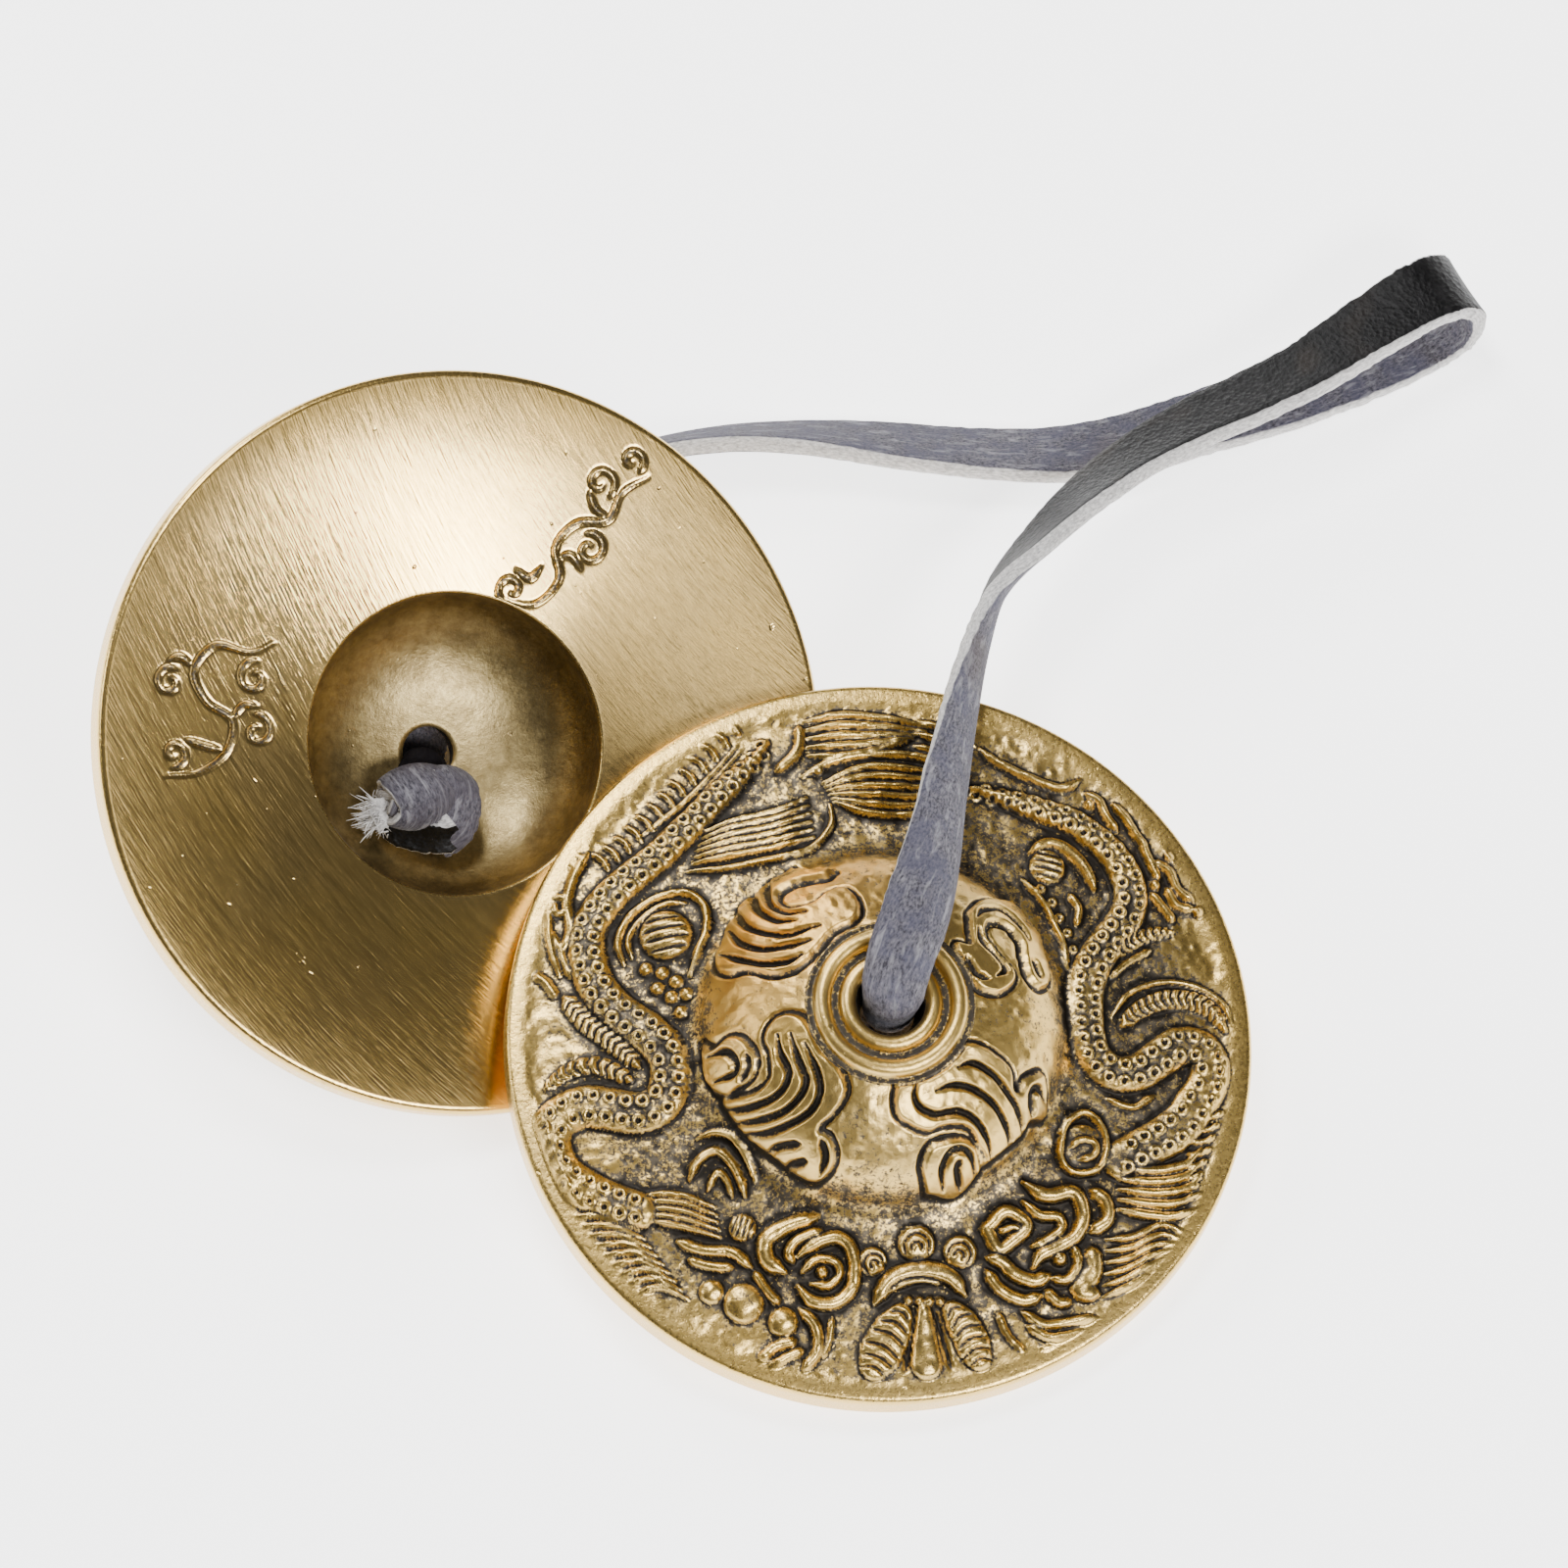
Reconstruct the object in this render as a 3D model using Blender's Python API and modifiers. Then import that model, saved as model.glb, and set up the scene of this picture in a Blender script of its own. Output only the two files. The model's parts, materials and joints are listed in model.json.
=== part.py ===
"""A pair of tingsha, Tibetan finger cymbals, joined by one flat leather thong.

Everything is in metres, and the pair lies on the plane z = 0. The left cymbal lies on its dome with its hollow
side up. The right cymbal lies hollow side down, with its inner rim propped on the left one. The thong starts at a
knot inside the left bell, leaves through the hole in its dome, runs along the ground to a fold, comes back above
itself and goes down through the right dome to the second knot.
"""

import math

import bmesh
import bpy
import numpy as np
from mathutils import Vector

OBJECT_NAME = "finger_cymbals"

# One cymbal, in its own frame: the rim's plane is z = 0 and the dome points along +Z.
RIM_RADIUS = 0.0325
RIM_THICKNESS = 0.0035
RIM_ROUND = 0.0006
CAVITY_RADIUS = 0.0132
CAVITY_LIP_DEPTH = 0.0023
CAVITY_ROOF_DEPTH = 0.0116
CAVITY_SQUARENESS = 2.6
DISH_POWER = 1.3
DOME_RADIUS = 0.0158
DOME_FOOT_HEIGHT = 0.0064
DOME_RISE = 0.0100
DOME_FILLET = 0.0008
LAND_RADIUS = 0.0069
LAND_HEIGHT = 0.0162
LAND_CHAMFER = 0.0004
HOLE_RADIUS = 0.0023
HOLE_MOUTH_RADIUS = 0.0032
TURN_STEPS = 60
DOME_POINTS = 7
CAVITY_POINTS = 7
DISH_POINTS = 4
ROUND_POINTS = 3
MERGE_DISTANCE = 0.00001

# How the two cymbals lie. A lean is the angle between a cymbal's axis and the vertical.
LEFT_CENTRE = (-0.0183, 0.0128)
LEFT_LEAN_TOWARDS = math.radians(-53.1)
RIGHT_CENTRE = (0.0177, -0.0117)
RIGHT_LEAN_TOWARDS = math.radians(-65.3)
RIGHT_LEAN = math.radians(10.65)
GROUND_GAP = 0.00002

# The thong. Each station is a place, the direction of the edge that faces the front, and the width there.
THONG_WIDTH = 0.0060
THONG_THICKNESS = 0.0015
NECK_WIDTH = 0.0034
MOUTH_WIDTH = 0.0044
NECK_THICKNESS = 0.0014
SAMPLES_PER_STATION = 3
FOLD_GAP = 0.0005

LEFT_BELL_STATIONS = (
    ((-0.0218, 0.0143, 0.0093), (1.00, 0.00, 0.00), 0.0036),
    ((-0.0214, 0.0156, 0.0092), (1.00, 0.00, 0.00), NECK_WIDTH),
    ((-0.0212, 0.0166, 0.0085), (1.00, 0.00, 0.00), NECK_WIDTH),
)
LEFT_HOLE_EDGE = (1.00, 0.00, 0.00)

LEFT_STATIONS = (
    ((-0.0230, 0.0195, 0.0019), (1.00, 0.00, 0.00), MOUTH_WIDTH),
    ((-0.0229, 0.0211, 0.0012), (1.00, -0.03, 0.00), 0.0048),
    ((-0.0226, 0.0240, 0.0011), (1.00, -0.08, 0.02), 0.0056),
    ((-0.0216, 0.0290, 0.0012), (0.97, -0.22, 0.08), THONG_WIDTH),
    ((-0.0193, 0.0345, 0.0015), (0.90, -0.40, 0.20), THONG_WIDTH),
    ((-0.0155, 0.0398, 0.0020), (0.77, -0.54, 0.35), THONG_WIDTH),
    ((-0.0100, 0.0450, 0.0024), (0.55, -0.67, 0.50), THONG_WIDTH),
    ((-0.0035, 0.0486, 0.0027), (0.28, -0.75, 0.60), THONG_WIDTH),
    ((0.0040, 0.0503, 0.0028), (0.06, -0.78, 0.62), THONG_WIDTH),
    ((0.0115, 0.0505, 0.0028), (-0.04, -0.79, 0.61), THONG_WIDTH),
    ((0.0190, 0.0499, 0.0027), (-0.07, -0.81, 0.58), THONG_WIDTH),
    ((0.0260, 0.0492, 0.0025), (-0.02, -0.86, 0.51), THONG_WIDTH),
    ((0.0335, 0.0492, 0.0021), (0.08, -0.91, 0.40), THONG_WIDTH),
    ((0.0400, 0.0504, 0.0017), (0.25, -0.93, 0.26), THONG_WIDTH),
    ((0.0470, 0.0530, 0.0013), (0.36, -0.92, 0.14), THONG_WIDTH),
    ((0.0540, 0.0556, 0.0011), (0.38, -0.92, 0.06), THONG_WIDTH),
    ((0.0600, 0.0581, 0.0011), (0.44, -0.90, 0.02), THONG_WIDTH),
    ((0.0662, 0.0613, 0.0011), (0.50, -0.86, 0.00), THONG_WIDTH),
)

RIGHT_STATIONS = (
    ((0.0662, 0.0613, 0.0093), (0.50, -0.86, 0.00), THONG_WIDTH),
    ((0.0629, 0.0591, 0.0093), (0.51, -0.84, 0.16), THONG_WIDTH),
    ((0.0590, 0.0563, 0.0091), (0.49, -0.81, 0.30), THONG_WIDTH),
    ((0.0554, 0.0539, 0.0089), (0.47, -0.79, 0.39), THONG_WIDTH),
    ((0.0516, 0.0517, 0.0087), (0.44, -0.79, 0.44), THONG_WIDTH),
    ((0.0453, 0.0485, 0.0086), (0.46, -0.74, 0.49), THONG_WIDTH),
    ((0.0403, 0.0451, 0.0088), (0.53, -0.62, 0.58), THONG_WIDTH),
    ((0.0362, 0.0413, 0.0093), (0.58, -0.44, 0.69), THONG_WIDTH),
    ((0.0329, 0.0371, 0.0103), (0.57, -0.25, 0.78), THONG_WIDTH),
    ((0.0300, 0.0328, 0.0117), (0.52, -0.04, 0.85), THONG_WIDTH),
    ((0.0281, 0.0290, 0.0132), (0.34, 0.20, 0.92), THONG_WIDTH),
    ((0.0268, 0.0241, 0.0152), (0.10, 0.34, 0.94), THONG_WIDTH),
    ((0.0256, 0.0176, 0.0178), (-0.14, 0.34, 0.93), THONG_WIDTH),
    ((0.0240, 0.0069, 0.0216), (-0.45, 0.32, 0.83), THONG_WIDTH),
    ((0.0224, -0.0033, 0.0247), (-0.73, 0.32, 0.57), 0.0058),
    ((0.0210, -0.0084, 0.0254), (-0.87, 0.30, 0.32), 0.0056),
    ((0.0198, -0.0118, 0.0250), (-0.94, 0.26, 0.12), 0.0052),
    ((0.0191, -0.0138, 0.0238), (-0.97, 0.22, 0.02), 0.0048),
)
RIGHT_HOLE_EDGE = (-0.98, 0.20, 0.00)

# The fold joins the two runs with half a circle, which lies across the direction that the thong leaves it in.
FOLD_AWAY = Vector((0.865, 0.502, 0.0))
FOLD_EDGE = (0.50, -0.86, 0.0)
FOLD_STEPS = 16

# The knots, as plain lumps: place, half sizes, and how each one lies.
LEFT_KNOT_PLACE = (-0.0220, 0.0102, 0.0093)
LEFT_KNOT_HALF = (0.0050, 0.0034, 0.0030)
LEFT_KNOT_TURN = (0.0, 0.0, math.radians(12))
RIGHT_KNOT_HALF = (0.0046, 0.0034, 0.0031)
RIGHT_KNOT_DROP = 0.0005
KNOT_SEGMENTS = 16
KNOT_RINGS = 10


def clear_scene():
    for leftover in list(bpy.data.objects):
        bpy.data.objects.remove(leftover, do_unlink=True)


def new_collection(name):
    collection = bpy.data.collections.new(name)
    bpy.context.scene.collection.children.link(collection)
    return collection


def new_material(name, colour, roughness, metallic):
    material = bpy.data.materials.new(name)
    material.use_nodes = True
    shader = material.node_tree.nodes["Principled BSDF"]
    shader.inputs["Base Color"].default_value = (*colour, 1.0)
    shader.inputs["Roughness"].default_value = roughness
    shader.inputs["Metallic"].default_value = metallic
    return material


def new_object(collection, name, mesh, material):
    mesh.materials.append(material)
    thing = bpy.data.objects.new(name, mesh)
    collection.objects.link(thing)
    return thing


def quarter_round(centre_radius, centre_height, start):
    """Points of a quarter circle of RIM_ROUND, turning clockwise from the angle start."""
    angles = np.linspace(start, start - math.pi / 2, ROUND_POINTS)
    return [
        (centre_radius + RIM_ROUND * math.cos(a), centre_height + RIM_ROUND * math.sin(a))
        for a in angles
    ]


def dome_side():
    top = math.acos((LAND_RADIUS + LAND_CHAMFER) / DOME_RADIUS)
    return [
        (DOME_RADIUS * math.cos(a), DOME_FOOT_HEIGHT + DOME_RISE * math.sin(a))
        for a in np.linspace(top, math.radians(4), DOME_POINTS)
    ]


def dished_face():
    """The hollow side's ring, from the rim in to the lip of the bell."""
    outer = RIM_RADIUS - RIM_ROUND
    shares = np.linspace(0, 1, DISH_POINTS + 1)[1:]
    return [
        (outer + (CAVITY_RADIUS - outer) * share, CAVITY_LIP_DEPTH * share**DISH_POWER)
        for share in shares
    ]


def cavity_side():
    power = 2 / CAVITY_SQUARENESS
    rise = CAVITY_ROOF_DEPTH - CAVITY_LIP_DEPTH
    last = math.acos((HOLE_RADIUS / CAVITY_RADIUS) ** (1 / power))
    return [
        (CAVITY_RADIUS * math.cos(a) ** power, CAVITY_LIP_DEPTH + rise * math.sin(a) ** power)
        for a in np.linspace(0, last, CAVITY_POINTS + 1)[1:]
    ]


def cymbal_outline():
    """Half the section, as (radius, height): down the outside from the hole, then back up the hollow side."""
    return [
        (HOLE_MOUTH_RADIUS, LAND_HEIGHT),
        (LAND_RADIUS, LAND_HEIGHT),
        *dome_side(),
        (DOME_RADIUS + DOME_FILLET, DOME_FOOT_HEIGHT),
        *quarter_round(RIM_RADIUS - RIM_ROUND, RIM_THICKNESS - RIM_ROUND, math.pi / 2),
        *quarter_round(RIM_RADIUS - RIM_ROUND, RIM_ROUND, 0),
        *dished_face(),
        *cavity_side(),
    ]


def cymbal_mesh(outline):
    mesh = bpy.data.meshes.new("cymbal_outline")
    corners = [(radius, 0, height) for radius, height in outline]
    count = len(corners)
    mesh.from_pydata(corners, [(i, (i + 1) % count) for i in range(count)], [])
    return mesh


def turn_about_axis(thing):
    screw = thing.modifiers.new("turned", "SCREW")
    screw.axis = "Z"
    screw.steps = TURN_STEPS
    screw.render_steps = TURN_STEPS
    screw.use_merge_vertices = True
    screw.merge_threshold = MERGE_DISTANCE
    screw.use_smooth_shade = True


def leaning_axis(lean, towards):
    return Vector(
        (
            math.sin(lean) * math.cos(towards),
            math.sin(lean) * math.sin(towards),
            math.cos(lean),
        )
    )


def left_lean(outline):
    """The lean at which the edge of the land and the back of the rim meet the ground together."""
    return min(
        math.atan2(LAND_HEIGHT - height, radius - LAND_RADIUS)
        for radius, height in outline
        if radius > CAVITY_RADIUS + RIM_THICKNESS
    )


def resting_height(outline, lean, side):
    """Height of the rim's centre: side is 1 for a cymbal with its dome up and -1 for one that lies on its dome."""
    return GROUND_GAP + max(
        radius * math.sin(lean) - side * height * math.cos(lean) for radius, height in outline
    )


def make_cymbal(collection, name, outline, material, centre, dome_axis):
    thing = new_object(collection, name, cymbal_mesh(outline), material)
    turn_about_axis(thing)
    thing.location = centre
    thing.rotation_mode = "QUATERNION"
    thing.rotation_quaternion = Vector((0, 0, 1)).rotation_difference(dome_axis)
    return thing


def hole_stations(rim_centre, dome_axis, edge):
    """Three stations on the axis of a cymbal's hole, from the roof of the bell out to the mouth on the land."""
    return tuple(
        (
            tuple(rim_centre + dome_axis * (CAVITY_ROOF_DEPTH * (1 - share) + LAND_HEIGHT * share)),
            edge,
            NECK_WIDTH * (1 - share) + MOUTH_WIDTH * share,
        )
        for share in (0, 0.5, 1)
    )


def smooth_rows(stations):
    """Rows of (place, edge direction, width) on one smooth curve through the stations."""
    rows = np.array([(*place, *edge, width) for place, edge, width in stations])
    steps = np.linalg.norm(np.diff(rows[:, :3], axis=0), axis=1)
    travel = np.concatenate([[0], np.cumsum(steps)])
    slopes = np.gradient(rows, travel, axis=0, edge_order=1)
    found = []
    for i, step in enumerate(steps):
        for t in np.arange(SAMPLES_PER_STATION) / SAMPLES_PER_STATION:
            blend_end = t * t * (3 - 2 * t)
            found.append(
                rows[i] * (1 - blend_end)
                + rows[i + 1] * blend_end
                + slopes[i] * step * t * (1 - t) ** 2
                - slopes[i + 1] * step * t * t * (1 - t)
            )
    found.append(rows[-1])
    return np.array(found)


def fold_rows(low, high):
    """Half a circle from the end of the left run up to the start of the right run."""
    radius = (high[2] - low[2]) / 2
    shortened = FOLD_GAP / radius
    rows = []
    for angle in np.linspace(-math.pi / 2 + shortened, math.pi / 2 - shortened, FOLD_STEPS + 1):
        out = np.array(FOLD_AWAY) * radius * math.cos(angle)
        place = (np.array(low) + np.array(high)) / 2 + out
        place[2] += radius * math.sin(angle)
        rows.append((*place, *FOLD_EDGE, THONG_WIDTH))
    return np.array(rows)


def section_thickness(width):
    share = (width - NECK_WIDTH) / (THONG_WIDTH - NECK_WIDTH)
    return NECK_THICKNESS + (THONG_THICKNESS - NECK_THICKNESS) * min(max(share, 0), 1)


def ribbon_mesh(name, rows):
    """A solid strip of rectangular sections, one to a row."""
    places = rows[:, :3]
    along = np.gradient(places, axis=0)
    shell = bmesh.new()
    rings = []
    for place, direction, row in zip(places, along, rows):
        forward = Vector(direction).normalized()
        edge = Vector(row[3:6])
        edge = (edge - forward * edge.dot(forward)).normalized()
        face = edge.cross(forward)
        half_width = edge * row[6] / 2
        half_depth = face * section_thickness(row[6]) / 2
        middle = Vector(place)
        rings.append(
            [
                shell.verts.new(middle + half_width + half_depth),
                shell.verts.new(middle - half_width + half_depth),
                shell.verts.new(middle - half_width - half_depth),
                shell.verts.new(middle + half_width - half_depth),
            ]
        )
    for near, far in zip(rings, rings[1:]):
        for i in range(4):
            j = (i + 1) % 4
            shell.faces.new((near[i], near[j], far[j], far[i]))
    shell.faces.new(rings[0])
    shell.faces.new(rings[-1])
    bmesh.ops.recalc_face_normals(shell, faces=shell.faces)
    mesh = bpy.data.meshes.new(name)
    shell.to_mesh(mesh)
    shell.free()
    return mesh


def make_ribbon(collection, name, rows, material):
    return new_object(collection, name, ribbon_mesh(name, rows), material)


def make_knot(collection, name, place, half_sizes, turn, material):
    lump = bmesh.new()
    bmesh.ops.create_uvsphere(lump, u_segments=KNOT_SEGMENTS, v_segments=KNOT_RINGS, radius=1)
    bmesh.ops.scale(lump, vec=half_sizes, verts=lump.verts)
    mesh = bpy.data.meshes.new(name)
    lump.to_mesh(mesh)
    lump.free()
    mesh.shade_smooth()
    thing = new_object(collection, name, mesh, material)
    thing.location = place
    thing.rotation_euler = turn
    return thing


def main():
    clear_scene()
    parts = new_collection(OBJECT_NAME)
    left_brass = new_material("left_brass", (0.64, 0.47, 0.22), 0.32, 1.0)
    right_brass = new_material("right_brass", (0.58, 0.42, 0.19), 0.36, 1.0)
    suede = new_material("suede_thong", (0.16, 0.15, 0.20), 0.9, 0.0)
    fold_leather = new_material("fold_leather", (0.03, 0.03, 0.035), 0.5, 0.0)
    grain = new_material("grain_thong", (0.04, 0.04, 0.045), 0.5, 0.0)
    left_knot_leather = new_material("left_knot_leather", (0.19, 0.17, 0.21), 0.9, 0.0)
    right_knot_leather = new_material("right_knot_leather", (0.17, 0.16, 0.20), 0.9, 0.0)

    outline = cymbal_outline()
    lean = left_lean(outline)
    left_centre = Vector((*LEFT_CENTRE, resting_height(outline, lean, -1)))
    left_up = leaning_axis(lean, LEFT_LEAN_TOWARDS)
    make_cymbal(parts, "left_cymbal", outline, left_brass, left_centre, -left_up)
    right_centre = Vector((*RIGHT_CENTRE, resting_height(outline, RIGHT_LEAN, 1)))
    right_up = leaning_axis(RIGHT_LEAN, RIGHT_LEAN_TOWARDS)
    make_cymbal(parts, "right_cymbal", outline, right_brass, right_centre, right_up)

    left_hole = hole_stations(left_centre, -left_up, LEFT_HOLE_EDGE)
    right_hole = hole_stations(right_centre, right_up, RIGHT_HOLE_EDGE)
    left_rows = smooth_rows(LEFT_BELL_STATIONS + left_hole + LEFT_STATIONS)
    right_rows = smooth_rows(RIGHT_STATIONS + right_hole[::-1])
    low, high = LEFT_STATIONS[-1][0], RIGHT_STATIONS[0][0]
    make_ribbon(parts, "strap_left_run", left_rows, suede)
    make_ribbon(parts, "strap_loop", fold_rows(low, high), fold_leather)
    make_ribbon(parts, "strap_right_run", right_rows, grain)

    make_knot(
        parts, "left_knot", LEFT_KNOT_PLACE, LEFT_KNOT_HALF, LEFT_KNOT_TURN, left_knot_leather
    )
    right_knot_depth = CAVITY_ROOF_DEPTH - RIGHT_KNOT_DROP - RIGHT_KNOT_HALF[2]
    make_knot(
        parts,
        "right_knot",
        right_centre + right_up * right_knot_depth,
        RIGHT_KNOT_HALF,
        Vector((0, 0, 1)).rotation_difference(right_up).to_euler(),
        right_knot_leather,
    )


main()
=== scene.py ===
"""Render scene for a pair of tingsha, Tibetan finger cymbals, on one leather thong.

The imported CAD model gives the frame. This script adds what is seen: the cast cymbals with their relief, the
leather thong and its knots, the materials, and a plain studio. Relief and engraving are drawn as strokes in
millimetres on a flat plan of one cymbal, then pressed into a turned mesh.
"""

import json
import math

import bpy
import numpy as np
from mathutils import Matrix, Vector


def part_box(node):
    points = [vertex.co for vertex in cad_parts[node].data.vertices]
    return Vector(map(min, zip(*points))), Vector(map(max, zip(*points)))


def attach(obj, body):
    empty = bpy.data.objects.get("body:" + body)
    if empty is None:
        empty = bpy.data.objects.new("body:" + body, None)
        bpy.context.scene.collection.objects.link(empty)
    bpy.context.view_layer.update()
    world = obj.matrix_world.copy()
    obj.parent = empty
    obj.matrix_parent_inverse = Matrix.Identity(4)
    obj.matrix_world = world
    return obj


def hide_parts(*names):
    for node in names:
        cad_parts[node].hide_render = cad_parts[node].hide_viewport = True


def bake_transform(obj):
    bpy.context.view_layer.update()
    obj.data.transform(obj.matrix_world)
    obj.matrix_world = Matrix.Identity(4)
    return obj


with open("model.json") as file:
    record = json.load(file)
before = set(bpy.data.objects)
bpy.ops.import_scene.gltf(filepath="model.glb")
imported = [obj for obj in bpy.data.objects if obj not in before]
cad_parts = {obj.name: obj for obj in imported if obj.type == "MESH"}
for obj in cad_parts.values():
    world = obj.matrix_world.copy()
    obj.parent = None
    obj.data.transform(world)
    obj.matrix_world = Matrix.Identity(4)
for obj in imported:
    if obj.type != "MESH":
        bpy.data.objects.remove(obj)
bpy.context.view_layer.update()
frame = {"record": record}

MM = 0.001

# ---------------------------------------------------------------- camera

CAMERA_AT = Vector((0.0097, 0.0125, 0.0100))
CAMERA_ELEVATION = math.radians(63)
CAMERA_DISTANCE = 1.8
SENSOR_WIDTH = 36
FOCAL_LENGTH = 473.6


def make_camera():
    lens = bpy.data.cameras.new("camera")
    lens.sensor_width = SENSOR_WIDTH
    lens.lens = FOCAL_LENGTH
    lens.clip_start = 0.05
    lens.clip_end = 20
    camera = bpy.data.objects.new("camera", lens)
    bpy.context.scene.collection.objects.link(camera)
    towards = Vector((0, -math.cos(CAMERA_ELEVATION), math.sin(CAMERA_ELEVATION)))
    camera.location = CAMERA_AT + towards * CAMERA_DISTANCE
    camera.rotation_euler = (math.pi / 2 - CAMERA_ELEVATION, 0, 0)
    bpy.context.scene.camera = camera


make_camera()

# ---------------------------------------------------------------- node helpers


class Nodes:
    """A short way to build one material's nodes. Colours are given as red, green and blue."""

    def __init__(self, name):
        self.material = bpy.data.materials.new(name)
        self.material.use_nodes = True
        self.tree = self.material.node_tree
        self.shader = self.tree.nodes["Principled BSDF"]

    def add(self, kind, inputs=None, **settings):
        node = self.tree.nodes.new(kind)
        for key, value in settings.items():
            setattr(node, key, value)
        for key, value in (inputs or {}).items():
            self.put(node.inputs[key], value)
        return node

    def put(self, socket, value):
        if isinstance(value, bpy.types.NodeSocket):
            self.tree.links.new(value, socket)
        else:
            socket.default_value = (*value, 1.0) if socket.type == "RGBA" else value

    def surface(self, name, value):
        self.put(self.shader.inputs[name], value)

    def attribute(self, name, output="Fac"):
        return self.add("ShaderNodeAttribute", attribute_name=name).outputs[output]

    def split(self, vector):
        return self.add("ShaderNodeSeparateXYZ", {"Vector": vector}).outputs

    def math(self, operation, a, b=0.0):
        return self.add("ShaderNodeMath", {0: a, 1: b}, operation=operation).outputs[0]

    def plus(self, a, b):
        return self.math("ADD", a, b)

    def minus(self, a, b):
        return self.math("SUBTRACT", a, b)

    def times(self, a, b):
        return self.math("MULTIPLY", a, b)

    def ramp(self, value, low, high, to_low=0.0, to_high=1.0):
        inputs = {"Value": value, "From Min": low, "From Max": high, "To Min": to_low, "To Max": to_high}
        return self.add("ShaderNodeMapRange", inputs, clamp=True).outputs["Result"]

    def mix(self, share, a, b):
        return self.add("ShaderNodeMix", {0: share, 6: a, 7: b}, data_type="RGBA").outputs[2]

    def mix_numbers(self, share, a, b):
        return self.add("ShaderNodeMix", {0: share, 2: a, 3: b}, data_type="FLOAT").outputs[0]

    def noise(self, vector, scale, detail=3.0, roughness=0.55, distortion=0.0):
        inputs = {"Vector": vector, "Scale": scale, "Detail": detail, "Roughness": roughness}
        return self.add("ShaderNodeTexNoise", {**inputs, "Distortion": distortion}).outputs["Fac"]

    def stretched(self, vector, scale):
        return self.add("ShaderNodeMapping", {"Vector": vector, "Scale": scale}).outputs["Vector"]

    def bump(self, height, strength, distance, below=None):
        inputs = {"Height": height, "Strength": strength, "Distance": distance}
        if below is not None:
            inputs["Normal"] = below
        return self.add("ShaderNodeBump", inputs).outputs["Normal"]


# ---------------------------------------------------------------- sizes of one cymbal, in millimetres

# Heights and depths are from the plane of its open side.
RIM_RADIUS = 32.5
RIM_THICKNESS = 3.5
ROUND = 0.6
FIELD_EDGE = 31.2
DOME_RADIUS = 15.8
DOME_FOOT = 6.4
DOME_RISE = 10.0
FOOT_BREADTH = 2.1
RING_EDGE = 7.3
LAND_HEIGHT = 16.2
MOUTH_RADIUS = 3.0
MOUTH_HEIGHT = 15.5
HOLE_RADIUS = 2.3
ROOF_DEPTH = 11.6
LIP_RADIUS = 13.2
LIP_DEPTH = 2.3
LIP_ROUND = 0.25
TURNS = 960

# ---------------------------------------------------------------- the thong's route

THONG_WIDTH = 0.0060
THONG_THICKNESS = 0.0015
NECK_WIDTH = 0.0034
FOLD_AWAY = np.array((0.865, 0.502, 0.0))
FOLD_EDGE = (0.50, -0.86, 0.0)

JOINTS = {joint["name"]: joint for joint in frame["record"]["behaviour"]["joints"]}
LEFT_CENTRE = np.array(JOINTS["left_cymbal_turn"]["pos_m"])
LEFT_DOME_AXIS = -np.array(JOINTS["left_cymbal_turn"]["axis"])
RIGHT_CENTRE = np.array(JOINTS["right_cymbal_turn"]["pos_m"])
RIGHT_DOME_AXIS = np.array(JOINTS["right_cymbal_turn"]["axis"])

LEFT_BELL_STATIONS = (
    ((-0.0226, 0.0124, 0.0082), (1.00, 0.00, 0.00), 0.0036),
    ((-0.0224, 0.0138, 0.0080), (1.00, 0.00, 0.00), NECK_WIDTH),
    ((-0.0221, 0.0149, 0.0073), (1.00, 0.00, 0.00), NECK_WIDTH),
)
LEFT_HOLE_ASIDE = np.array((-0.0005, -0.0012, -0.0003))
LEFT_STATIONS = (
    ((-0.0230, 0.0195, 0.0019), (1.00, 0.00, 0.00), 0.0044),
    ((-0.0229, 0.0211, 0.0012), (1.00, -0.03, 0.00), 0.0048),
    ((-0.0226, 0.0240, 0.0011), (1.00, -0.08, 0.02), 0.0056),
    ((-0.0216, 0.0290, 0.0012), (0.97, -0.22, 0.08), THONG_WIDTH),
    ((-0.0193, 0.0345, 0.0015), (0.90, -0.40, 0.20), THONG_WIDTH),
    ((-0.0155, 0.0398, 0.0020), (0.77, -0.54, 0.35), THONG_WIDTH),
    ((-0.0100, 0.0450, 0.0026), (0.50, -0.62, 0.61), THONG_WIDTH),
    ((-0.0035, 0.0486, 0.0030), (0.22, -0.53, 0.82), THONG_WIDTH),
    ((0.0040, 0.0503, 0.0030), (0.06, -0.60, 0.80), THONG_WIDTH),
    ((0.0115, 0.0505, 0.0029), (-0.03, -0.69, 0.72), THONG_WIDTH),
    ((0.0190, 0.0499, 0.0027), (-0.07, -0.81, 0.58), THONG_WIDTH),
    ((0.0260, 0.0492, 0.0025), (-0.02, -0.86, 0.51), THONG_WIDTH),
    ((0.0335, 0.0492, 0.0021), (0.08, -0.91, 0.40), THONG_WIDTH),
    ((0.0400, 0.0504, 0.0017), (0.25, -0.93, 0.26), THONG_WIDTH),
    ((0.0470, 0.0530, 0.0013), (0.36, -0.92, 0.14), THONG_WIDTH),
    ((0.0540, 0.0556, 0.0011), (0.38, -0.92, 0.06), THONG_WIDTH),
    ((0.0600, 0.0581, 0.0011), (0.44, -0.90, 0.02), THONG_WIDTH),
    ((0.0662, 0.0613, 0.0011), (0.50, -0.86, 0.00), THONG_WIDTH),
)
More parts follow.
